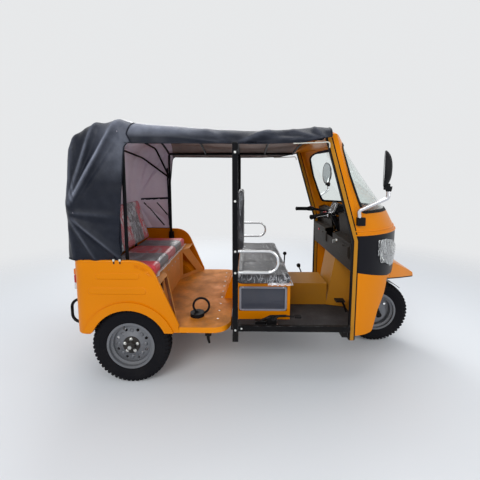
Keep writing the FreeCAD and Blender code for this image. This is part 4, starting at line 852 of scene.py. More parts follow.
rows += [row * np.array([1, -1, 1]) for row in rows[side_rows + bend_rows - 1::-1]]
hood_grid = np.array(rows)[:, ::-1]
hx, hy, hz = (hood_grid[..., i] for i in range(3))
near_side = np.clip((np.abs(hy) - 0.50) / 0.10, 0, 1)
right_hand = (hy < 0).astype(float)
tie = (-0.400, 1.212)
# folds of the right side: end of each, width, height
right_folds = (((0.010, 1.860), 0.026, 0.030), ((-0.130, 1.900), 0.022, 0.017), ((-0.290, 1.860), 0.020, 0.011),
               ((-0.005, 0.880), 0.034, 0.022), ((-0.170, 0.840), 0.030, 0.015), ((-0.030, 1.180), 0.030, 0.010),
               ((-0.340, 0.850), 0.018, 0.008))
left_folds = (((0.000, 1.800), 0.028, 0.022), ((-0.020, 0.950), 0.034, 0.018), ((-0.200, 1.860), 0.024, 0.013),
              ((-0.200, 0.850), 0.026, 0.012), ((-0.030, 1.230), 0.030, 0.008))


def side_folds(folds):
    """Height of a side's folds, and the painted highlight along their ridges, which is stronger on the upper ones."""
    height = sum(crease(hx, hz, tie, end, width, rise) for end, width, rise in folds)
    painted_highlight = sum(ridge_highlight(hx, hz, tie, end, width * 0.27) * rise * (32 if end[1] > 1.3 else 13)
              for end, width, rise in folds)
    return height, painted_highlight


folds_right, highlight_right = side_folds(right_folds)
folds_left, highlight_left = side_folds(left_folds)
pinch = 0.010 * np.exp(-((hx - tie[0]) ** 2 + (hz - tie[1]) ** 2) / 0.045 ** 2)
top_side = np.clip((hz - 1.70) / 0.06, 0, 1)
across = np.clip(1 - np.abs(hy) / 0.52, 0, 1)
back_wall = np.clip((1.62 - hz) / 0.2, 0, 1) * np.clip((0.56 - np.abs(hy)) / 0.08, 0, 1)
push = near_side * (right_hand * folds_right + (1 - right_hand) * folds_left - pinch)
# painted light: the upper front of the hood's sides is lightened, on top of the painted highlights of the fold ridges
front_light = np.clip((hx + 0.22) / 0.20, 0, 1) * np.clip((hz - 1.40) / 0.20, 0, 1)
hood_highlight = near_side * (right_hand * highlight_right + (1 - right_hand) * highlight_left) + 0.34 * front_light
push += back_wall * 0.006 * np.sin(hy * 21 + 3 * rumple(hood_grid, 2.0, 4.0))
push += top_side * across * 0.005 * np.cos((hx + 0.15) / 0.14 * math.pi)
push += 0.0055 * rumple(hood_grid, 4.2, 1.0) + 0.0022 * rumple(hood_grid, 13.0, 7.0)
joint_hold = np.clip(np.arange(len(shoulder)) / 12.0, 0, 1)[None, ::-1] ** 2
hood_grid = pushed(hood_grid, push * joint_hold)
hood_grid[..., 0] += rear_axle_x
hood = cloth_sheet("hood_canvas", hood_grid, 0.0018, outer_canvas, lit_hood_lining, hood_highlight)
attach(hood, "chassis")
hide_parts("canopy_hood")


def closed_run(form, rings, first_paint=0):
    """Solid between rings of points, shut at both ends; the first end may have a paint of its own."""
    skinned(form, rings)
    form.faces.new(rings[0]).material_index = first_paint
    form.faces.new(rings[-1])


# dark strips on the hood's lining on each side, painted shadows of the hood bows: a level one, two slanting ones and
# one down the front hem
shadow_strip_runs = (((-1.235, 1.210), (-0.940, 1.222), 0.022), ((-1.205, 1.175), (-0.985, 0.925), 0.014),
              ((-1.060, 1.175), (-0.950, 1.040), 0.012), ((-0.938, 1.545), (-0.930, 0.930), 0.016))
shadow_strip_thick = 0.0012
bow_shadow_strips = bmesh.new()
# columns: the side's rows of the hood, its sign, how far inside them the strips lie
for side_points, side, inset in ((hood_grid[:side_rows], -1, 0.0085), (hood_grid[-side_rows:], 1, 0.0036)):
    spots = side_points.reshape(-1, 3)
    for start, end, width in shadow_strip_runs:
        run = np.linspace(start, end, 40)
        along = (run[-1] - run[0]) / np.linalg.norm(run[-1] - run[0])
        rings = []
        for x, z in run:
            depth = spots[np.argmin((spots[:, 0] - x) ** 2 + (spots[:, 2] - z) ** 2), 1] - side * inset
            rings.append([bow_shadow_strips.verts.new((x - along[1] * w, depth + side * t, z + along[0] * w))
                          for w, t in ((-width / 2, shadow_strip_thick), (width / 2, shadow_strip_thick),
                                       (width / 2, -shadow_strip_thick), (-width / 2, -shadow_strip_thick))])
        closed_run(bow_shadow_strips, rings)
piece("bow_shadow_strips", bow_shadow_strips, "chassis", "canvas", outer_canvas)

# roof sections: X from the rear axle, shoulder height, crown height
roof_line = np.array([(0.052, 1.798, 1.833), (0.503, 1.764, 1.800), (0.762, 1.745, 1.784), (0.956, 1.745, 1.784),
                      (1.275, 1.772, 1.802), (1.345, 1.764, 1.790)])
stations = np.linspace(0.020, 1.345, 130)
shoulders, crowns = (eased(np.interp(stations, roof_line[:, 0], roof_line[:, i]), 6) for i in (1, 2))
hem_line = np.interp(stations, [0.052, 0.73, 0.96, 1.16, 1.345], [1.661, 1.656, 1.656, 1.663, 1.698])
flap_top = np.maximum(shoulders - bend, hem_line + 0.004)
rows = [level_row(stations, -half_width, hem_line * (1 - r) + flap_top * r)
        for r in np.linspace(0, 1, 9, endpoint=False)]
for angle in np.linspace(0, math.pi / 2, 11, endpoint=False):
    rows.append(level_row(stations, -half_width + bend * (1 - math.cos(angle)),
                          flap_top + (shoulders - flap_top) * math.sin(angle)))
for share in np.linspace(-1, 1, 76):
    rows.append(level_row(stations, share * flat_half, shoulders + (crowns - shoulders) * (1 - share ** 2)))
rows += [row * np.array([1, -1, 1]) for row in rows[19::-1]]
roof_grid = np.array(rows)
rx, ry, rz = (roof_grid[..., i] for i in range(3))
bows = np.array([-0.008, 0.380, 0.731, 1.000, 1.295])
gap = np.searchsorted(bows, rx).clip(1, 4)
between = (rx - bows[gap - 1]) / (bows[gap] - bows[gap - 1])
sag = -0.009 * np.sin(np.clip(between, 0, 1) * math.pi) ** 2 * np.clip(1 - (np.abs(ry) / 0.60) ** 4, 0, 1)
near_side = np.clip((np.abs(ry) - 0.555) / 0.05, 0, 1)
right_hand = (ry < 0).astype(float)
girth = rz - 0.35 * (half_width - np.abs(ry))
corner_tie = (1.325, 1.674)
# folds of the roof's side flaps: start, end, width, height
roof_folds = (((0.715, 1.655), (1.150, 1.775), 0.026, 0.024), (corner_tie, (1.225, 1.760), 0.022, 0.016),
              (corner_tie, (1.060, 1.745), 0.024, 0.016), (corner_tie, (0.840, 1.705), 0.022, 0.012),
              ((0.690, 1.655), (0.380, 1.700), 0.022, 0.008), ((0.700, 1.655), (0.520, 1.745), 0.020, 0.007))
front_folds = sum(crease(rx, girth, start, end, width, height, 0.8) for start, end, width, height in roof_folds)
# painted highlights along the ridges of the roof's side folds
roof_fold_highlight = sum(ridge_highlight(rx, girth, start, end, width * 0.5) * height * 10
               for start, end, width, height in roof_folds)
# painted light: the roof's upper face is lightened, most towards the back
lit_roof_top = np.clip((girth - 1.695) / 0.07, 0, 1) * np.interp(rx, [0.35, 0.85], [0.78, 0.08])
push = sag + near_side * (0.4 + 0.6 * right_hand) * front_folds
push += 0.0025 * rumple(roof_grid, 5.0, 2.0) + 0.0016 * rumple(roof_grid, 15.0, 9.0)
push += near_side * 0.004 * np.sin(rx * 34 + 2 * rumple(roof_grid, 3.0, 5.0)) * np.clip((1.70 - rz) / 0.05, 0, 1)
joint_hold = np.clip((np.arange(130) - 3) / 8.0, 0, 1)[None, :]
tuck = 0.003 * np.clip((0.075 - rx) / 0.015, 0, 1)
roof_grid = pushed(roof_grid, push * joint_hold - tuck)
roof_grid[..., 0] += rear_axle_x
roof = cloth_sheet("roof_canvas", roof_grid, 0.0018, outer_canvas, shaded_roof_lining, near_side * roof_fold_highlight + lit_roof_top)
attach(roof, "chassis")
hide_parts("canopy_roof")

canopy_edges = bmesh.new()
for column in (hood_grid[0], hood_grid[-1]):
    pipe(canopy_edges, column, 0.0042, 8)
for row in (roof_grid[0], roof_grid[-1]):
    pipe(canopy_edges, row, 0.0038, 8)
pipe(canopy_edges, hood_grid[:, -1] + np.array([0.002, 0, 0.0008]), 0.0030, 8)
pipe(canopy_edges, hood_grid[:, 0], 0.0038, 8)
pipe(canopy_edges, roof_grid[:, -1], 0.0042, 8)
piece("canopy_binding", canopy_edges, "chassis", "canvas", outer_canvas)


# Wheels. Black tyres with blocky treads cut by cross grooves and a ribbed shoulder; pressed steel rims painted
# silver grey, held by nuts round a black hub, with a rubber valve.
tyre_rubber = finish("tyre_rubber", (0.007, 0.007, 0.009), 0.66, dust_height=0.55, dust_amount=0.10, patches=0.1,
                     dust_colour=(0.10, 0.09, 0.08, 1), ripple_scale=120, ripple_fine=0.8, bump=0.0008, shine=0.05)
rim_silver = finish("rim_silver", (0.17, 0.175, 0.19), 0.36, dust_height=0.5, dust_amount=0.5, patches=0.2,
                    dust_colour=(0.16, 0.15, 0.13, 1), ripple_scale=40, bump=0.0005, Metallic=0.45, Coat_Weight=0.15)
hub_black = finish("hub_black", (0.010, 0.010, 0.011), 0.4, dust_amount=0.3, ripple_scale=90, bump=0.0005)
dress(rim_silver, "front_rim", "rear_left_rim", "rear_right_rim")
front_axle_x, axle_z = 1.0535, 0.2725
# half section of the tyre: radius, distance from the middle plane
tyre_section = [(0.1556, 0.046), (0.166, 0.0475), (0.1735, 0.050), (0.1745, 0.0525), (0.178, 0.0527), (0.180, 0.0518),
                (0.192, 0.0556), (0.2065, 0.0573), (0.219, 0.0575), (0.2215, 0.0585), (0.2245, 0.0585), (0.227, 0.0575),
                (0.2345, 0.0575), (0.240, 0.0570), (0.2440, 0.0560), (0.250, 0.0540), (0.2560, 0.0520),
                (0.2620, 0.0500), (0.2660, 0.0480), (0.2690, 0.0455), (0.2700, 0.0400), (0.2707, 0.0330),
                (0.2710, 0.0290), (0.2712, 0.0250), (0.2718, 0.0190), (0.2722, 0.0130), (0.2724, 0.0090),
                (0.2725, 0.0050), (0.2725, 0.0)]
# tread: blocks round the tyre, steps in each, radius where it starts, half width of its middle part
lugs, lug_steps, tread_foot, tread_middle = 54, 6, 0.2435, 0.027


def groove(r, y, step):
    """Depth of the tread's grooves at a point of the section: across the shoulders, and shallower in the middle."""
    phase = (step + (3 if y > tread_middle else 0 if y < -tread_middle else 1)) % lug_steps
    if r <= tread_foot:
        return 0.0
    if abs(y) > tread_middle:
        return 0.0085 * min(1, (r - tread_foot) / 0.012) if phase < 2 else 0.0
    return 0.007 if phase < 2 or abs(y) > 0.0245 or abs(y) < 0.006 and phase == 3 else 0.0


def tyre(name, body, middle, node_name):
    """Tyre turned from its section, with its tread blocks raised between grooves."""
    section = tyre_section + [(r, -y) for r, y in tyre_section[-2::-1]]
    form = bmesh.new()
    rings = []
    for i in range(lugs * lug_steps):
        angle = 2 * math.pi * i / (lugs * lug_steps)
        ring = []
        for r, y in section:
            cut = groove(r, y, i)
            sideways = y - math.copysign(cut * 0.35, y) if abs(y) > 0.04 else y
            ring.append(form.verts.new((middle[0] + (r - cut) * math.cos(angle), middle[1] + sideways,
                                        middle[2] + (r - cut) * math.sin(angle))))
        rings.append(ring)
    skinned(form, rings, closed=True)
    made = piece(name, form, body, "tyre_rubber", tyre_rubber, sharp=32)
    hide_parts(node_name)


def wheel_fittings(name, body, middle, side):
    """Nuts, hub cap, valve and drum edge on the outer face of a rim."""
    form = bmesh.new()
    x, y, z = middle
    face = y + side * 0.034
    turned(form, (x, face - side * 0.004, z), (x, face + side * 0.010, z),
           [(0, 0.062), (0.7, 0.060), (1, 0.052)], 40, 1)
    turned(form, (x, face + side * 0.008, z), (x, face + side * 0.034, z),
           [(0, 0.034), (0.8, 0.031), (1, 0.022)], 32, 1)
    turned(form, (x, face + side * 0.030, z), (x, face + side * 0.042, z), [(0, 0.016), (1, 0.014)], 6)
    for i in range(5):
        a = 2 * math.pi * i / 5 + 0.3
        bolt(form, (x + 0.046 * math.cos(a), face + side * 0.009, z + 0.046 * math.sin(a)), (0, side, 0), 0.0095)
    for i in range(8):
        a = 2 * math.pi * i / 8
        boss_x, boss_z = x + 0.094 * math.cos(a), z + 0.094 * math.sin(a)
        turned(form, (boss_x, y + side * 0.012, boss_z), (boss_x, y + side * 0.027, boss_z),
               [(0, 0.019), (0.6, 0.015), (1, 0.008)], 18, 2)
    a = 1.9
    foot = Vector((x + 0.146 * math.cos(a), y + side * 0.034, z + 0.146 * math.sin(a)))
    turned(form, foot, foot + Vector((-0.016 * math.cos(a), side * 0.020, -0.016 * math.sin(a))),
           [(0, 0.006), (0.5, 0.0045), (0.55, 0.0035), (1, 0.0035)], 12, 1)
    piece(name, form, body, "rim_paint", zinc, hub_black, rim_silver)


for name, body, middle, side in (("front", "front_wheel", (front_axle_x, 0, axle_z), 1),
                                 ("rear_right", "rear_right_wheel", (rear_axle_x, -0.576, axle_z), -1),
                                 ("rear_left", "rear_left_wheel", (rear_axle_x, 0.576, axle_z), 1)):
    tyre(f"{name}_tyre_treaded", body, middle, f"{name}_tyre")
    wheel_fittings(f"{name}_hub_fittings", body, middle, side)


# Nose trim. Rolled lips round the foot of the cowl, a black rubber edge under the visor, the black mask band of
# moulded plastic between the cowl and the leg shields, and painted sheet that closes the visor's roots.
mask_plastic = finish("mask_plastic", (0.006, 0.006, 0.009), 0.30, dust_amount=0.06, patches=0.3, ripple_scale=30,
                      bump=0.0005, shine=0.11)
soft_rubber = finish("soft_rubber", (0.006, 0.006, 0.007), 0.55, dust_amount=0.10, ripple_scale=140, ripple_fine=0.8,
                     bump=0.0004, shine=0.07)
dress(mask_plastic, "nose_mask", "front_mudguard")
dress(soft_rubber, "door_seals", "windscreen_seal", "floor_ring")
nose_trim = bmesh.new()
for height, arc_x, arc_radius, thickness in ((1.0765, front_axle_x - 0.5349, 0.5939, 0.0048),
                                             (1.0500, front_axle_x - 0.5173, 0.5906, 0.0052)):
    widest = math.asin(0.573 / arc_radius)
    lip = [(front_axle_x - 0.408, -0.5742, height)]
    lip += [(arc_x + (arc_radius + 0.001) * math.cos(a), (arc_radius + 0.001) * math.sin(a), height)
            for a in np.linspace(-widest, widest, 60)]
    lip += [(front_axle_x - 0.408, 0.5742, height)]
    pipe(nose_trim, lip, thickness, 10)
lip = [(front_axle_x + x, -y, z) for x, y, z in ((-0.104, 0.421, 0.699), (0.075, 0.265, 0.654),
                                                 (0.279, 0.079, 0.605), (0.299, 0.036, 0.601))]
lip = rounded(lip + [(x, -y, z) for x, y, z in lip[::-1]], 0.03, 6)
pipe(nose_trim, lip, 0.0046, 10, 1)
piece("nose_trim", nose_trim, "chassis", "body_yellow", yellow_paint, soft_rubber)

# painted sheet that closes the joint between the visor's root and the foot of the mask, on each side
visor_roots = bmesh.new()
for side in (-1, 1):
    rings = []
    for a in np.radians(np.linspace(33.6, 46.6, 16)):
        rings.append([visor_roots.verts.new((front_axle_x - 0.514 + r * math.cos(a), side * r * math.sin(a), z))
                      for r, z in ((0.5800, 0.6990), (0.5890, 0.6990), (0.5890, 0.7290), (0.5800, 0.7290))])
    closed_run(visor_roots, rings)
piece("visor_roots", visor_roots, "chassis", "body_yellow", yellow_paint)


# Headlamps. Faceted chrome reflectors behind clear fluted lenses, each lamp with a main bulb and a smaller one in
# polished cups. The lamps sit in the mask at 46 degrees round the nose.
def moulded(name, scale, kind, settings, reading="Fac"):
    """Pattern group whose Height is a texture's reading."""
    group, given, out = effect(name, [("Scale", VALUE, scale)], [("Height", VALUE)])
    texture = sampled(group, kind, settings)
    group.links.new(given.outputs["Scale"], texture.inputs["Scale"])
    group.links.new(texture.outputs[reading], out.inputs["Height"])
    return group


facets = moulded("reflector_facets", 46.0, "ShaderNodeTexVoronoi", {"distance": "CHEBYCHEV"}, "Distance")
flutes = moulded("lens_flutes", 30.0, "ShaderNodeTexWave", {"bands_direction": "Y"})
lamp_chrome = finish("lamp_chrome", (0.56, 0.57, 0.58), 0.14, dust_amount=0.05, patches=0.05, bump=0.007,
                     pattern=facets, Metallic=1.0)
chrome = finish("bright_chrome", (0.80, 0.81, 0.82), 0.10, dust_amount=0.15, patches=0.15, ripple_scale=60, bump=0.0002,
                Metallic=1.0)
black_plastic = finish("black_plastic", (0.005, 0.005, 0.006), 0.50, dust_amount=0.06, ripple_scale=90, ripple_fine=0.5,
                       bump=0.0001, shine=0.12)


def glass(name, colour, rough, pattern=None, strength=0.3):
    """Clear glass or plastic with a faint smeary roughness and, on a lens, moulded flutes."""
    material, tree, shader = fresh(name, Transmission_Weight=1.0, IOR=1.45)
    dusted(tree, shader, (*colour, 1), Roughness=rough, Height=1.2, Amount=0.06, Patches=0.12)
    surface = placed(tree, pattern) if pattern else placed(tree, ripple, Scale=5.0, Fine=0.02)
    raised(tree, shader, surface.outputs["Height"], 0.002, strength)
    return material


lens_glass = glass("lens_glass", (0.97, 0.98, 0.98), 0.02, flutes, 0.38)
screen_glass = glass("screen_glass", (0.90, 0.95, 0.93), 0.015, None, 0.10)
dress(lens_glass, "headlamp_lenses")
dress(screen_glass, "windscreen")
dress(lamp_chrome, "headlamp_bowls")
nose_arc_x, nose_arc_radius = front_axle_x - 0.514, 0.590
lamp_parts = bmesh.new()
for side in (-1, 1):
    # columns: degrees round the nose, height, cup radius
    for turn, height, cup in ((41, 0.935, 0.042), (55, 0.868, 0.030)):
        out_x, out_y = math.cos(math.radians(turn)), side * math.sin(math.radians(turn))
        start = Vector((nose_arc_x + (nose_arc_radius - 0.030) * out_x, (nose_arc_radius - 0.030) * out_y, height))
        axis = Vector((out_x, out_y, 0))
        turned(lamp_parts, start, start + axis * 0.024,
               [(0, 0.012), (0.3, 0.012), (0.35, 0.009), (0.8, 0.009), (1, 0.004)], 20, 1)
        turned(lamp_parts, start, start + axis * 0.010, [(0, 0.018), (1, 0.014)], 24)
        rim_middle, aside = start + axis * 0.033, Vector((-out_y, out_x, 0))
        ring_path = [rim_middle + aside * cup * math.cos(a) + Vector((0, 0, cup * math.sin(a)))
                     for a in np.linspace(0, 2 * math.pi, 36, endpoint=False)]
        pipe(lamp_parts, ring_path, 0.0022, 8, closed=True)
bulb_glass = finish("bulb_glass", (0.85, 0.85, 0.80), 0.25, dust_amount=0.0, ripple_scale=80, bump=0.0003)
piece("headlamp_cups", lamp_parts, "chassis", "lamp_bowl", chrome, bulb_glass)


# Mirrors. Chromed tube arms clamped to the cab's sides by black blocks, each with a crowned black head whose glass
# is let into its back face. The heads are turned 22 degrees towards the driver.
mirror_face = finish("mirror_face", (0.40, 0.42, 0.43), 0.03, dust_amount=0.05, ripple_scale=4, ripple_fine=0.0,
                     bump=0.0002, Metallic=1.0)
satin_chrome = finish("satin_chrome", (0.66, 0.66, 0.69), 0.26, dust_amount=0.05, patches=0.15, ripple_scale=30,
                      bump=0.0001, Metallic=1.0)
dress(satin_chrome, "mirror_arms")
dress(chrome, "arm_loops")
mirror_x, mirror_y, mirror_z = front_axle_x - 0.250, 0.674, 1.493
block_x = front_axle_x - 0.380
# depth ahead of the middle, share of the outline
head_profile = ((-0.0300, 0.900), (-0.0310, 0.915), (-0.0318, 0.965), (-0.0300, 0.995), (-0.0260, 1.0),
                (-0.0215, 0.985), (-0.0120, 0.90), (-0.0010, 0.76), (0.0070, 0.58), (0.0120, 0.38), (0.0140, 0.18))
mirror_shells = bmesh.new()
mirror_clamps = bmesh.new()
for side in (-1, 1):
    turn = Matrix.Rotation(math.radians(22 * side), 3, "Z")
    rings = []
    for depth, share in head_profile:
        ring = []
        for a in np.linspace(0, 2 * math.pi, 56, endpoint=False):
            c, t = math.cos(a), math.sin(a)
            across = math.copysign(abs(c) ** 0.85, c) * 0.0690 * share * (1 - 0.10 * max(t, 0))
            up = math.copysign(abs(t) ** 0.90, t) * 0.1145 * share
            ring.append(mirror_shells.verts.new(Vector((mirror_x, side * mirror_y, mirror_z))
                                                + turn @ Vector((depth, across, up))))
        rings.append(ring)
    closed_run(mirror_shells, rings, 1)
    slab(mirror_clamps, (block_x - 0.027, side * 0.5735, 1.119), (block_x + 0.027, side * 0.602, 1.175), 0.004)
    for z in (1.132, 1.162):
        bolt(mirror_clamps, (block_x - 0.012, side * 0.602, z), (0, side, 0), 0.005)
    slab(mirror_clamps, (mirror_x - 0.0300, side * mirror_y - 0.017, 1.362),
         (mirror_x + 0.008, side * mirror_y + 0.017, 1.402), 0.006, 0, turn, (mirror_x, side * mirror_y, 1.38))
    turned(mirror_clamps, (mirror_x, side * mirror_y, 1.352), (mirror_x, side * mirror_y, 1.384),
           [(0, 0.0155), (0.4, 0.019), (1, 0.021)], 24)
shells = piece("mirror_shells", mirror_shells, "chassis", "black_plastic", black_plastic, mirror_face)
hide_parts("mirror_heads", "mirror_glasses")
piece("mirror_clamps", mirror_clamps, "chassis", "black_plastic", black_plastic, zinc)


# Dashboard. A moulded dark brown grey apron with a ledge behind the handlebar; two lids, a row of rocker switches,
# a red tell-tale and a key barrel are let into it.
dash_plastic = finish("dash_plastic", (0.016, 0.011, 0.007), 0.55, dust_height=2.0, dust_amount=0.15, patches=0.2,
                      dust_colour=(0.08, 0.06, 0.045, 1), ripple_scale=180, ripple_fine=1.0, bump=0.0005)
dress(dash_plastic, "dashboard")
red_lamp = finish("red_lamp", (0.55, 0.02, 0.03), 0.2, dust_amount=0.05, ripple_scale=300, bump=0.0003, Coat_Weight=0.5)
apron_x = 0.6295
dash_parts = bmesh.new()
for low_y, high_y in ((-0.515, -0.270), (0.055, 0.295)):
    slab(dash_parts, (apron_x - 0.0035, low_y, 0.872), (apron_x + 0.001, high_y, 0.962), 0.004)
    slab(dash_parts, (apron_x - 0.0065, low_y + 0.012, 0.882), (apron_x - 0.0030, high_y - 0.012, 0.952), 0.006)
    middle = (low_y + high_y) / 2
    slab(dash_parts, (apron_x - 0.0125, middle - 0.020, 0.938), (apron_x - 0.0055, middle + 0.020, 0.950))
for i, y in enumerate(np.linspace(0.165, 0.285, 4)):
    slab(dash_parts, (apron_x + 0.0365, y - 0.013, 1.062), (apron_x + 0.0430, y + 0.013, 1.096), 0.002)
    slab(dash_parts, (apron_x + 0.0340, y - 0.009, 1.070), (apron_x + 0.0390, y + 0.009, 1.088), 0.002, 1,
         Matrix.Rotation(math.radians(9 if i % 2 else -9), 3, "Y"), (apron_x + 0.037, y, 1.079))
turned(dash_parts, (apron_x - 0.0005, 0.325, 0.942), (apron_x - 0.010, 0.325, 0.942),
       [(0, 0.011), (0.7, 0.011), (1, 0.007)], 24, 2)
turned(dash_parts, (apron_x, -0.235, 0.948), (apron_x - 0.009, -0.235, 0.948), [(0, 0.013), (1, 0.011)], 24, 3)
slab(dash_parts, (apron_x - 0.034, -0.2375, 0.925), (apron_x - 0.008, -0.2325, 0.953), 0.001, 3)
piece("dash_fittings", dash_parts, "chassis", "black_plastic", dash_plastic, black_plastic, red_lamp, zinc)


# Steering. The black tube handlebar carries ribbed rubber grips, switch housings and bright levers, and a pod with
# one round dial. All of it turns with the fork.
dress(black_plastic, "instrument_pod")
dress(black_steel, "handlebar")
grips_form = bmesh.new()
levers = bmesh.new()
for side in (-1, 1):
    end = Vector((0.3985, side * 0.3272, 1.1421))
    inner = Vector((0.5280, side * 0.240, 1.1500))
    along = (end - inner).normalized()
    aside = Vector((along.y, -along.x, 0)).normalized() * side
    start = end - along * 0.126
    radii = [(0, 0.0195), (0.03, 0.0205), (0.05, 0.0172)]
    for i in range(18):
        share = 0.07 + i * 0.048
        radii += [(share, 0.0152), (share + 0.010, 0.0172), (share + 0.030, 0.0172), (share + 0.040, 0.0152)]
    radii += [(0.95, 0.0185), (0.98, 0.0190), (1.0, 0.0165)]
    turned(grips_form, start, end, radii, 24)
    housing = start - along * 0.026
    slab(levers, housing - Vector((0.024, 0.020, 0.019)), housing + Vector((0.024, 0.020, 0.021)), 0.007, 1,
         Matrix.Rotation(math.atan2(along.y, along.x), 3, "Z"), housing)
    for step, size in ((-0.010, 0.006), (0.010, 0.005)):
        turned(levers, housing + along * step + Vector((0, 0, 0.019)), housing + along * step + Vector((0, 0, 0.027)),
               [(0, size), (1, size * 0.8)], 12, 2)
    front = housing + aside * 0.030
    turned(levers, front - Vector((0, 0, 0.009)), front + Vector((0, 0, 0.009)), [(0, 0.010), (1, 0.010)], 16)
    blade = rounded([front, front + along * 0.045 + aside * 0.010, front + along * 0.110 + aside * 0.004,
                     front + along * 0.128 + aside * 0.006], 0.03, 5)
    pipe(levers, blade, [0.0065 - 0.0022 * i / len(blade) for i in range(len(blade))], 10, flat=0.7)
for y in (-0.045, 0.045):
    slab(levers, (0.640, y - 0.014, 1.122), (0.672, y + 0.014, 1.160), 0.004)
rubber_grips = piece("rubber_grips", grips_form, "steering", "seal_rubber", soft_rubber)
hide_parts("grips")
piece("handlebar_levers", levers, "steering", "chrome_bar", satin_chrome, black_plastic, red_lamp)

dial_white = finish("dial_white", (0.75, 0.75, 0.72), 0.4, dust_amount=0.0, ripple_scale=50, bump=0.0001)
rake = math.radians(24)
pod_back = Vector((-math.cos(rake), 0, math.sin(rake)))
pod_up = Vector((math.sin(rake), 0, math.cos(rake)))
dial_middle = Vector((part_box("instrument_pod")[0][0] + 0.020, 0, 1.177)) + pod_back * 0.0005
mark_level, needle_level = dial_middle + pod_back * 0.0026, dial_middle + pod_back * 0.0035


def dial_spoke(degrees):
    """Direction across the dial's face."""
    return Vector((0, -math.cos(math.radians(degrees)), 0)) + pod_up * math.sin(math.radians(degrees))


dial = bmesh.new()
turned(dial, dial_middle - pod_back * 0.004, dial_middle + pod_back * 0.002, [(0, 0.044), (1, 0.044)], 48)
ring_path = [dial_middle + pod_back * 0.002 + Vector((0, 0.044 * math.cos(a), 0)) + pod_up * 0.044 * math.sin(a)
             for a in np.linspace(0, 2 * math.pi, 48, endpoint=False)]
pipe(dial, ring_path, 0.0030, 10, 1, closed=True)
for i in range(11):
    inner, outer = (0.030, 0.039) if i % 2 == 0 else (0.034, 0.039)
    spoke = dial_spoke(225 - 27 * i)
    pipe(dial, [mark_level + spoke * inner, mark_level + spoke * outer], 0.0009, 6, 2)
pipe(dial, [needle_level - dial_spoke(225) * 0.008, needle_level + dial_spoke(225) * 0.032], [0.0016, 0.0006], 6, 3)
turned(dial, dial_middle + pod_back * 0.002, dial_middle + pod_back * 0.006, [(0, 0.005), (1, 0.004)], 16)
piece("speed_dial", dial, "steering", "black_plastic", black_plastic, satin_chrome, dial_white, red_lamp)


# Seat box covers, mats and controls. Each cover is a dished grey plate in a paler raised rim with round corners;
# the mats are ribbed rubber, trodden and dusty.
def dish(form, low, high, corner, side, profile):
    """Dished plate in a plane of constant Y: profile is (inset, distance out, paint) from the edge inward."""
    rings = []
    for inset, reach, paint in profile:
        ring = []
        radius = max(corner - inset, 0.002)
        middles = ((high[0] - corner, high[1] - corner, 0), (low[0] + corner, high[1] - corner, 90),
                   (low[0] + corner, low[1] + corner, 180), (high[0] - corner, low[1] + corner, 270))
        for x, z, first in middles:
            shift = max(inset - corner + 0.002, 0)
            x -= math.copysign(shift, x - (low[0] + high[0]) / 2)
            z -= math.copysign(shift, z - (low[1] + high[1]) / 2)
            for step in range(9):
                a = math.radians(first + step * 11.25)
                ring.append(form.verts.new((x + radius * math.cos(a), side * reach, z + radius * math.sin(a))))
        rings.append((ring, paint))
    for (outer, _), (inner, paint) in zip(rings, rings[1:]):
        painted(skinned(form, [outer, inner]), paint)
    form.faces.new(rings[-1][0]).material_index = rings[-1][1]
    form.faces.new(rings[0][0][::-1]).material_index = rings[0][1]


cover_grey = finish("cover_grey", (0.050, 0.055, 0.075), 0.33, dust_height=0.9, dust_amount=0.20, patches=0.25,
                    ripple_scale=26, bump=0.0008, Coat_Weight=0.3)
cover_rim = finish("cover_rim", (0.27, 0.27, 0.31), 0.30, dust_height=0.9, dust_amount=0.15, patches=0.2,
                   ripple_scale=26, bump=0.0006, Coat_Weight=0.3)
covers = bmesh.new()
for side in (-1, 1):
    dish(covers, (-0.1440, 0.4425), (0.2150, 0.6335), 0.022, side,
         ((0.0, 0.4105, 1), (0.0, 0.4255, 1), (0.0025, 0.4278, 1), (0.0075, 0.4278, 1), (0.010, 0.4262, 1),
          (0.0125, 0.4278, 1), (0.0165, 0.4278, 1), (0.0215, 0.4215, 0), (0.030, 0.4205, 0), (0.052, 0.4220, 0)))
    for x in (-0.115, 0.186):
        for z in (0.4485, 0.6275):
            bolt(covers, (x, side * 0.4275, z), (0, side, 0), 0.0035, 2)
made = piece("seat_box_covers", covers, "chassis", "grey_cover", cover_grey, cover_rim, zinc, sharp=28)
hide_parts("engine_covers")

ribs = moulded("mat_ribs", 26.0, "ShaderNodeTexWave", {"bands_direction": "Y"})
mat_rubber = finish("mat_rubber", (0.030, 0.028, 0.028), 0.75, dust_height=3.0, dust_amount=0.85, patches=0.2,
                    dust_colour=(0.085, 0.080, 0.080, 1), ripple_scale=40, bump=0.0015, pattern=ribs)
dress(mat_rubber, "floor_mats")
dress(black_steel, "driver_controls", "driver_floor")
foot_parts = bmesh.new()
slab(foot_parts, (0.048, -0.548, 0.3805), (0.142, -0.512, 0.3860), 0.002)
slab(foot_parts, (0.056, -0.542, 0.384), (0.128, -0.534, 0.446), 0.012)
for x in (0.058, 0.132):
    bolt(foot_parts, (x, -0.530, 0.386), (0, 0, 1), 0.006, 1)
turned(foot_parts, (0.104, -0.552, 0.436), (0.104, -0.528, 0.436), [(0, 0.011), (1, 0.011)])
pipe(foot_parts, rounded([(0.104, -0.546, 0.436), (0.150, -0.546, 0.463), (0.292, -0.546, 0.455)], 0.02, 5), 0.0058)
slab(foot_parts, (0.252, -0.562, 0.4500), (0.300, -0.528, 0.4640), 0.005, 2)
turned(foot_parts, (0.500, 0.300, 0.381), (0.500, 0.300, 0.398), [(0, 0.026), (0.5, 0.024), (1, 0.012)], 24, 2)
pipe(foot_parts, rounded([(0.500, 0.300, 0.390), (0.462, 0.300, 0.500), (0.434, 0.300, 0.566)], 0.05, 5), 0.0060)
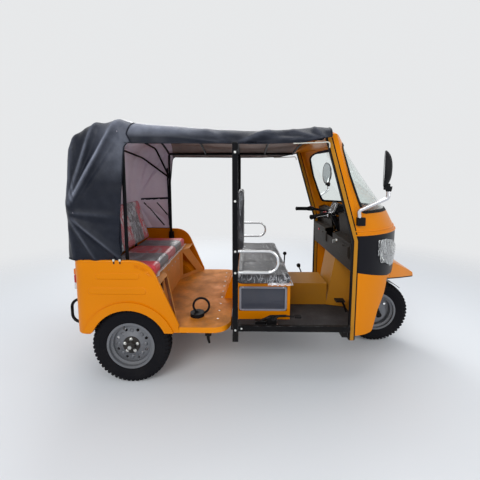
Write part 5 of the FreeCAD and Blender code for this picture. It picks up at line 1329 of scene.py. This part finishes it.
turned(foot_parts, (0.436, 0.300, 0.560), (0.424, 0.300, 0.598),
       [(0, 0.009), (0.2, 0.017), (0.6, 0.020), (0.9, 0.015), (1, 0.006)], 20, 2)
piece("foot_lever_and_brake", foot_parts, "chassis", "frame_black", black_steel, zinc, soft_rubber)


# Rear fittings. Lamps of three ribbed lenses in black housings, amber over red over clear, and a bare white plate
# in a black frame, all screwed to the back panel.
lens_ribs = moulded("lamp_ribs", 90.0, "ShaderNodeTexWave", {"bands_direction": "Z"})
lens_red, lens_amber, lens_clear = (
    finish(name, colour, rough, dust_amount=0.1, bump=0.0012, pattern=lens_ribs, Coat_Weight=0.6)
    for name, colour, rough in (("lens_red", (0.42, 0.008, 0.010), 0.12), ("lens_amber", (0.75, 0.17, 0.004), 0.12),
                                ("lens_clear", (0.68, 0.69, 0.70), 0.10)))
plate_white = finish("plate_white", (0.66, 0.66, 0.64), 0.35, dust_height=1.0, dust_amount=0.25, ripple_scale=20,
                     bump=0.0002)
dress(plate_white, "number_plate")
rear_fittings = bmesh.new()
tail = bmesh.new()
for side in (-1, 1):
    near, far = sorted((side * 0.4705, side * 0.5395))
    slab(tail, (tub_back_x - 0.020, near, 0.6405), (tub_back_x, far, 0.7995), 0.006)
    for low_z, high_z, paint in ((0.6455, 0.6895, 3), (0.6925, 0.7480, 1), (0.7510, 0.7945, 2)):
        slab(tail, (tub_back_x - 0.0415, near + 0.005, low_z), (tub_back_x - 0.018, far - 0.005, high_z), 0.007, paint)
    for z in (0.570, 0.420):
        turned(rear_fittings, (tub_back_x - 0.004, side * 0.5349, z), (tub_back_x, side * 0.5349, z),
               [(0, 0.018), (1, 0.020)])
made = piece("tail_lamp_sets", tail, "chassis", "red_lens", black_plastic, lens_red, lens_amber, lens_clear)
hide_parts("tail_lamps")
frame_x = tub_back_x - 0.0045
for low, high in (((-0.133, 0.517), (0.133, 0.5215)), ((-0.133, 0.6385), (0.133, 0.643)),
                  ((-0.133, 0.5215), (-0.1285, 0.6385)), ((0.1285, 0.5215), (0.133, 0.6385))):
    slab(rear_fittings, (frame_x, *low), (tub_back_x, *high), 0.001)
for y in (-0.1, 0.1):
    bolt(rear_fittings, (tub_back_x - 0.003, y, 0.58), (-1, 0, 0), 0.004, 1)
piece("rear_fittings", rear_fittings, "chassis", "black_plastic", black_plastic, zinc)


# Small canopy hardware: a cream rod in the roof's front hem with its hook, and white plastic buckles on short
# straps that hold the hood's lower front corners to the tub.
cream_paint = finish("cream_paint", (0.62, 0.60, 0.52), 0.45, dust_amount=0.2, ripple_scale=60, bump=0.0003)
canopy_hardware = bmesh.new()
for side in (-1, 1):
    rod = rounded([(0.205, side * 0.6385, 1.6545), (0.380, side * 0.6385, 1.6600), (0.436, side * 0.634, 1.6640),
                   (0.4400, side * 0.620, 1.6300)], 0.02, 6)
    pipe(canopy_hardware, rod, 0.0042, 10)
    for x in (rear_axle_x - 0.080, rear_axle_x - 0.038):
        slab(canopy_hardware, (x - 0.007, side * 0.6500, 0.884), (x + 0.007, side * 0.6560, 0.900))
        slab(canopy_hardware, (x - 0.005, side * 0.6440, 0.866), (x + 0.005, side * 0.6520, 0.915), 0.001, 1)
piece("canopy_hardware", canopy_hardware, "chassis", "plate_white", cream_paint, outer_canvas)


# Engine. Under the driver's seat hangs the cast crankcase and cylinder, its walls cut into cooling fins; only its
# underside and sides show, between the rails.
fins = bmesh.new()
for z in np.arange(0.300, 0.600, 0.016):
    slab(fins, (-0.1215, -0.1975, z), (0.2025, 0.1975, z + 0.005), 0.001)
for x in np.arange(-0.110, 0.200, 0.022):
    slab(fins, (x, -0.150, 0.2735), (x + 0.006, 0.150, 0.2815), 0.001)
for side in (-1, 1):
    slab(fins, (-0.398, side * 0.440, 0.262), (-0.352, side * 0.472, 0.386), 0.004, 1)
    turned(fins, (-0.375, side * 0.436, 0.285), (-0.375, side * 0.482, 0.285), [(0, 0.016), (1, 0.016)], 20, 1)
    pipe(fins, [(-0.378, side * 0.456, 0.270), (-0.374, side * 0.462, 0.232), (-0.366, side * 0.466, 0.205)],
         [0.013, 0.011, 0.008], 12, 1)
piece("engine_fins", fins, "chassis", "engine_metal", cast_metal, black_steel)
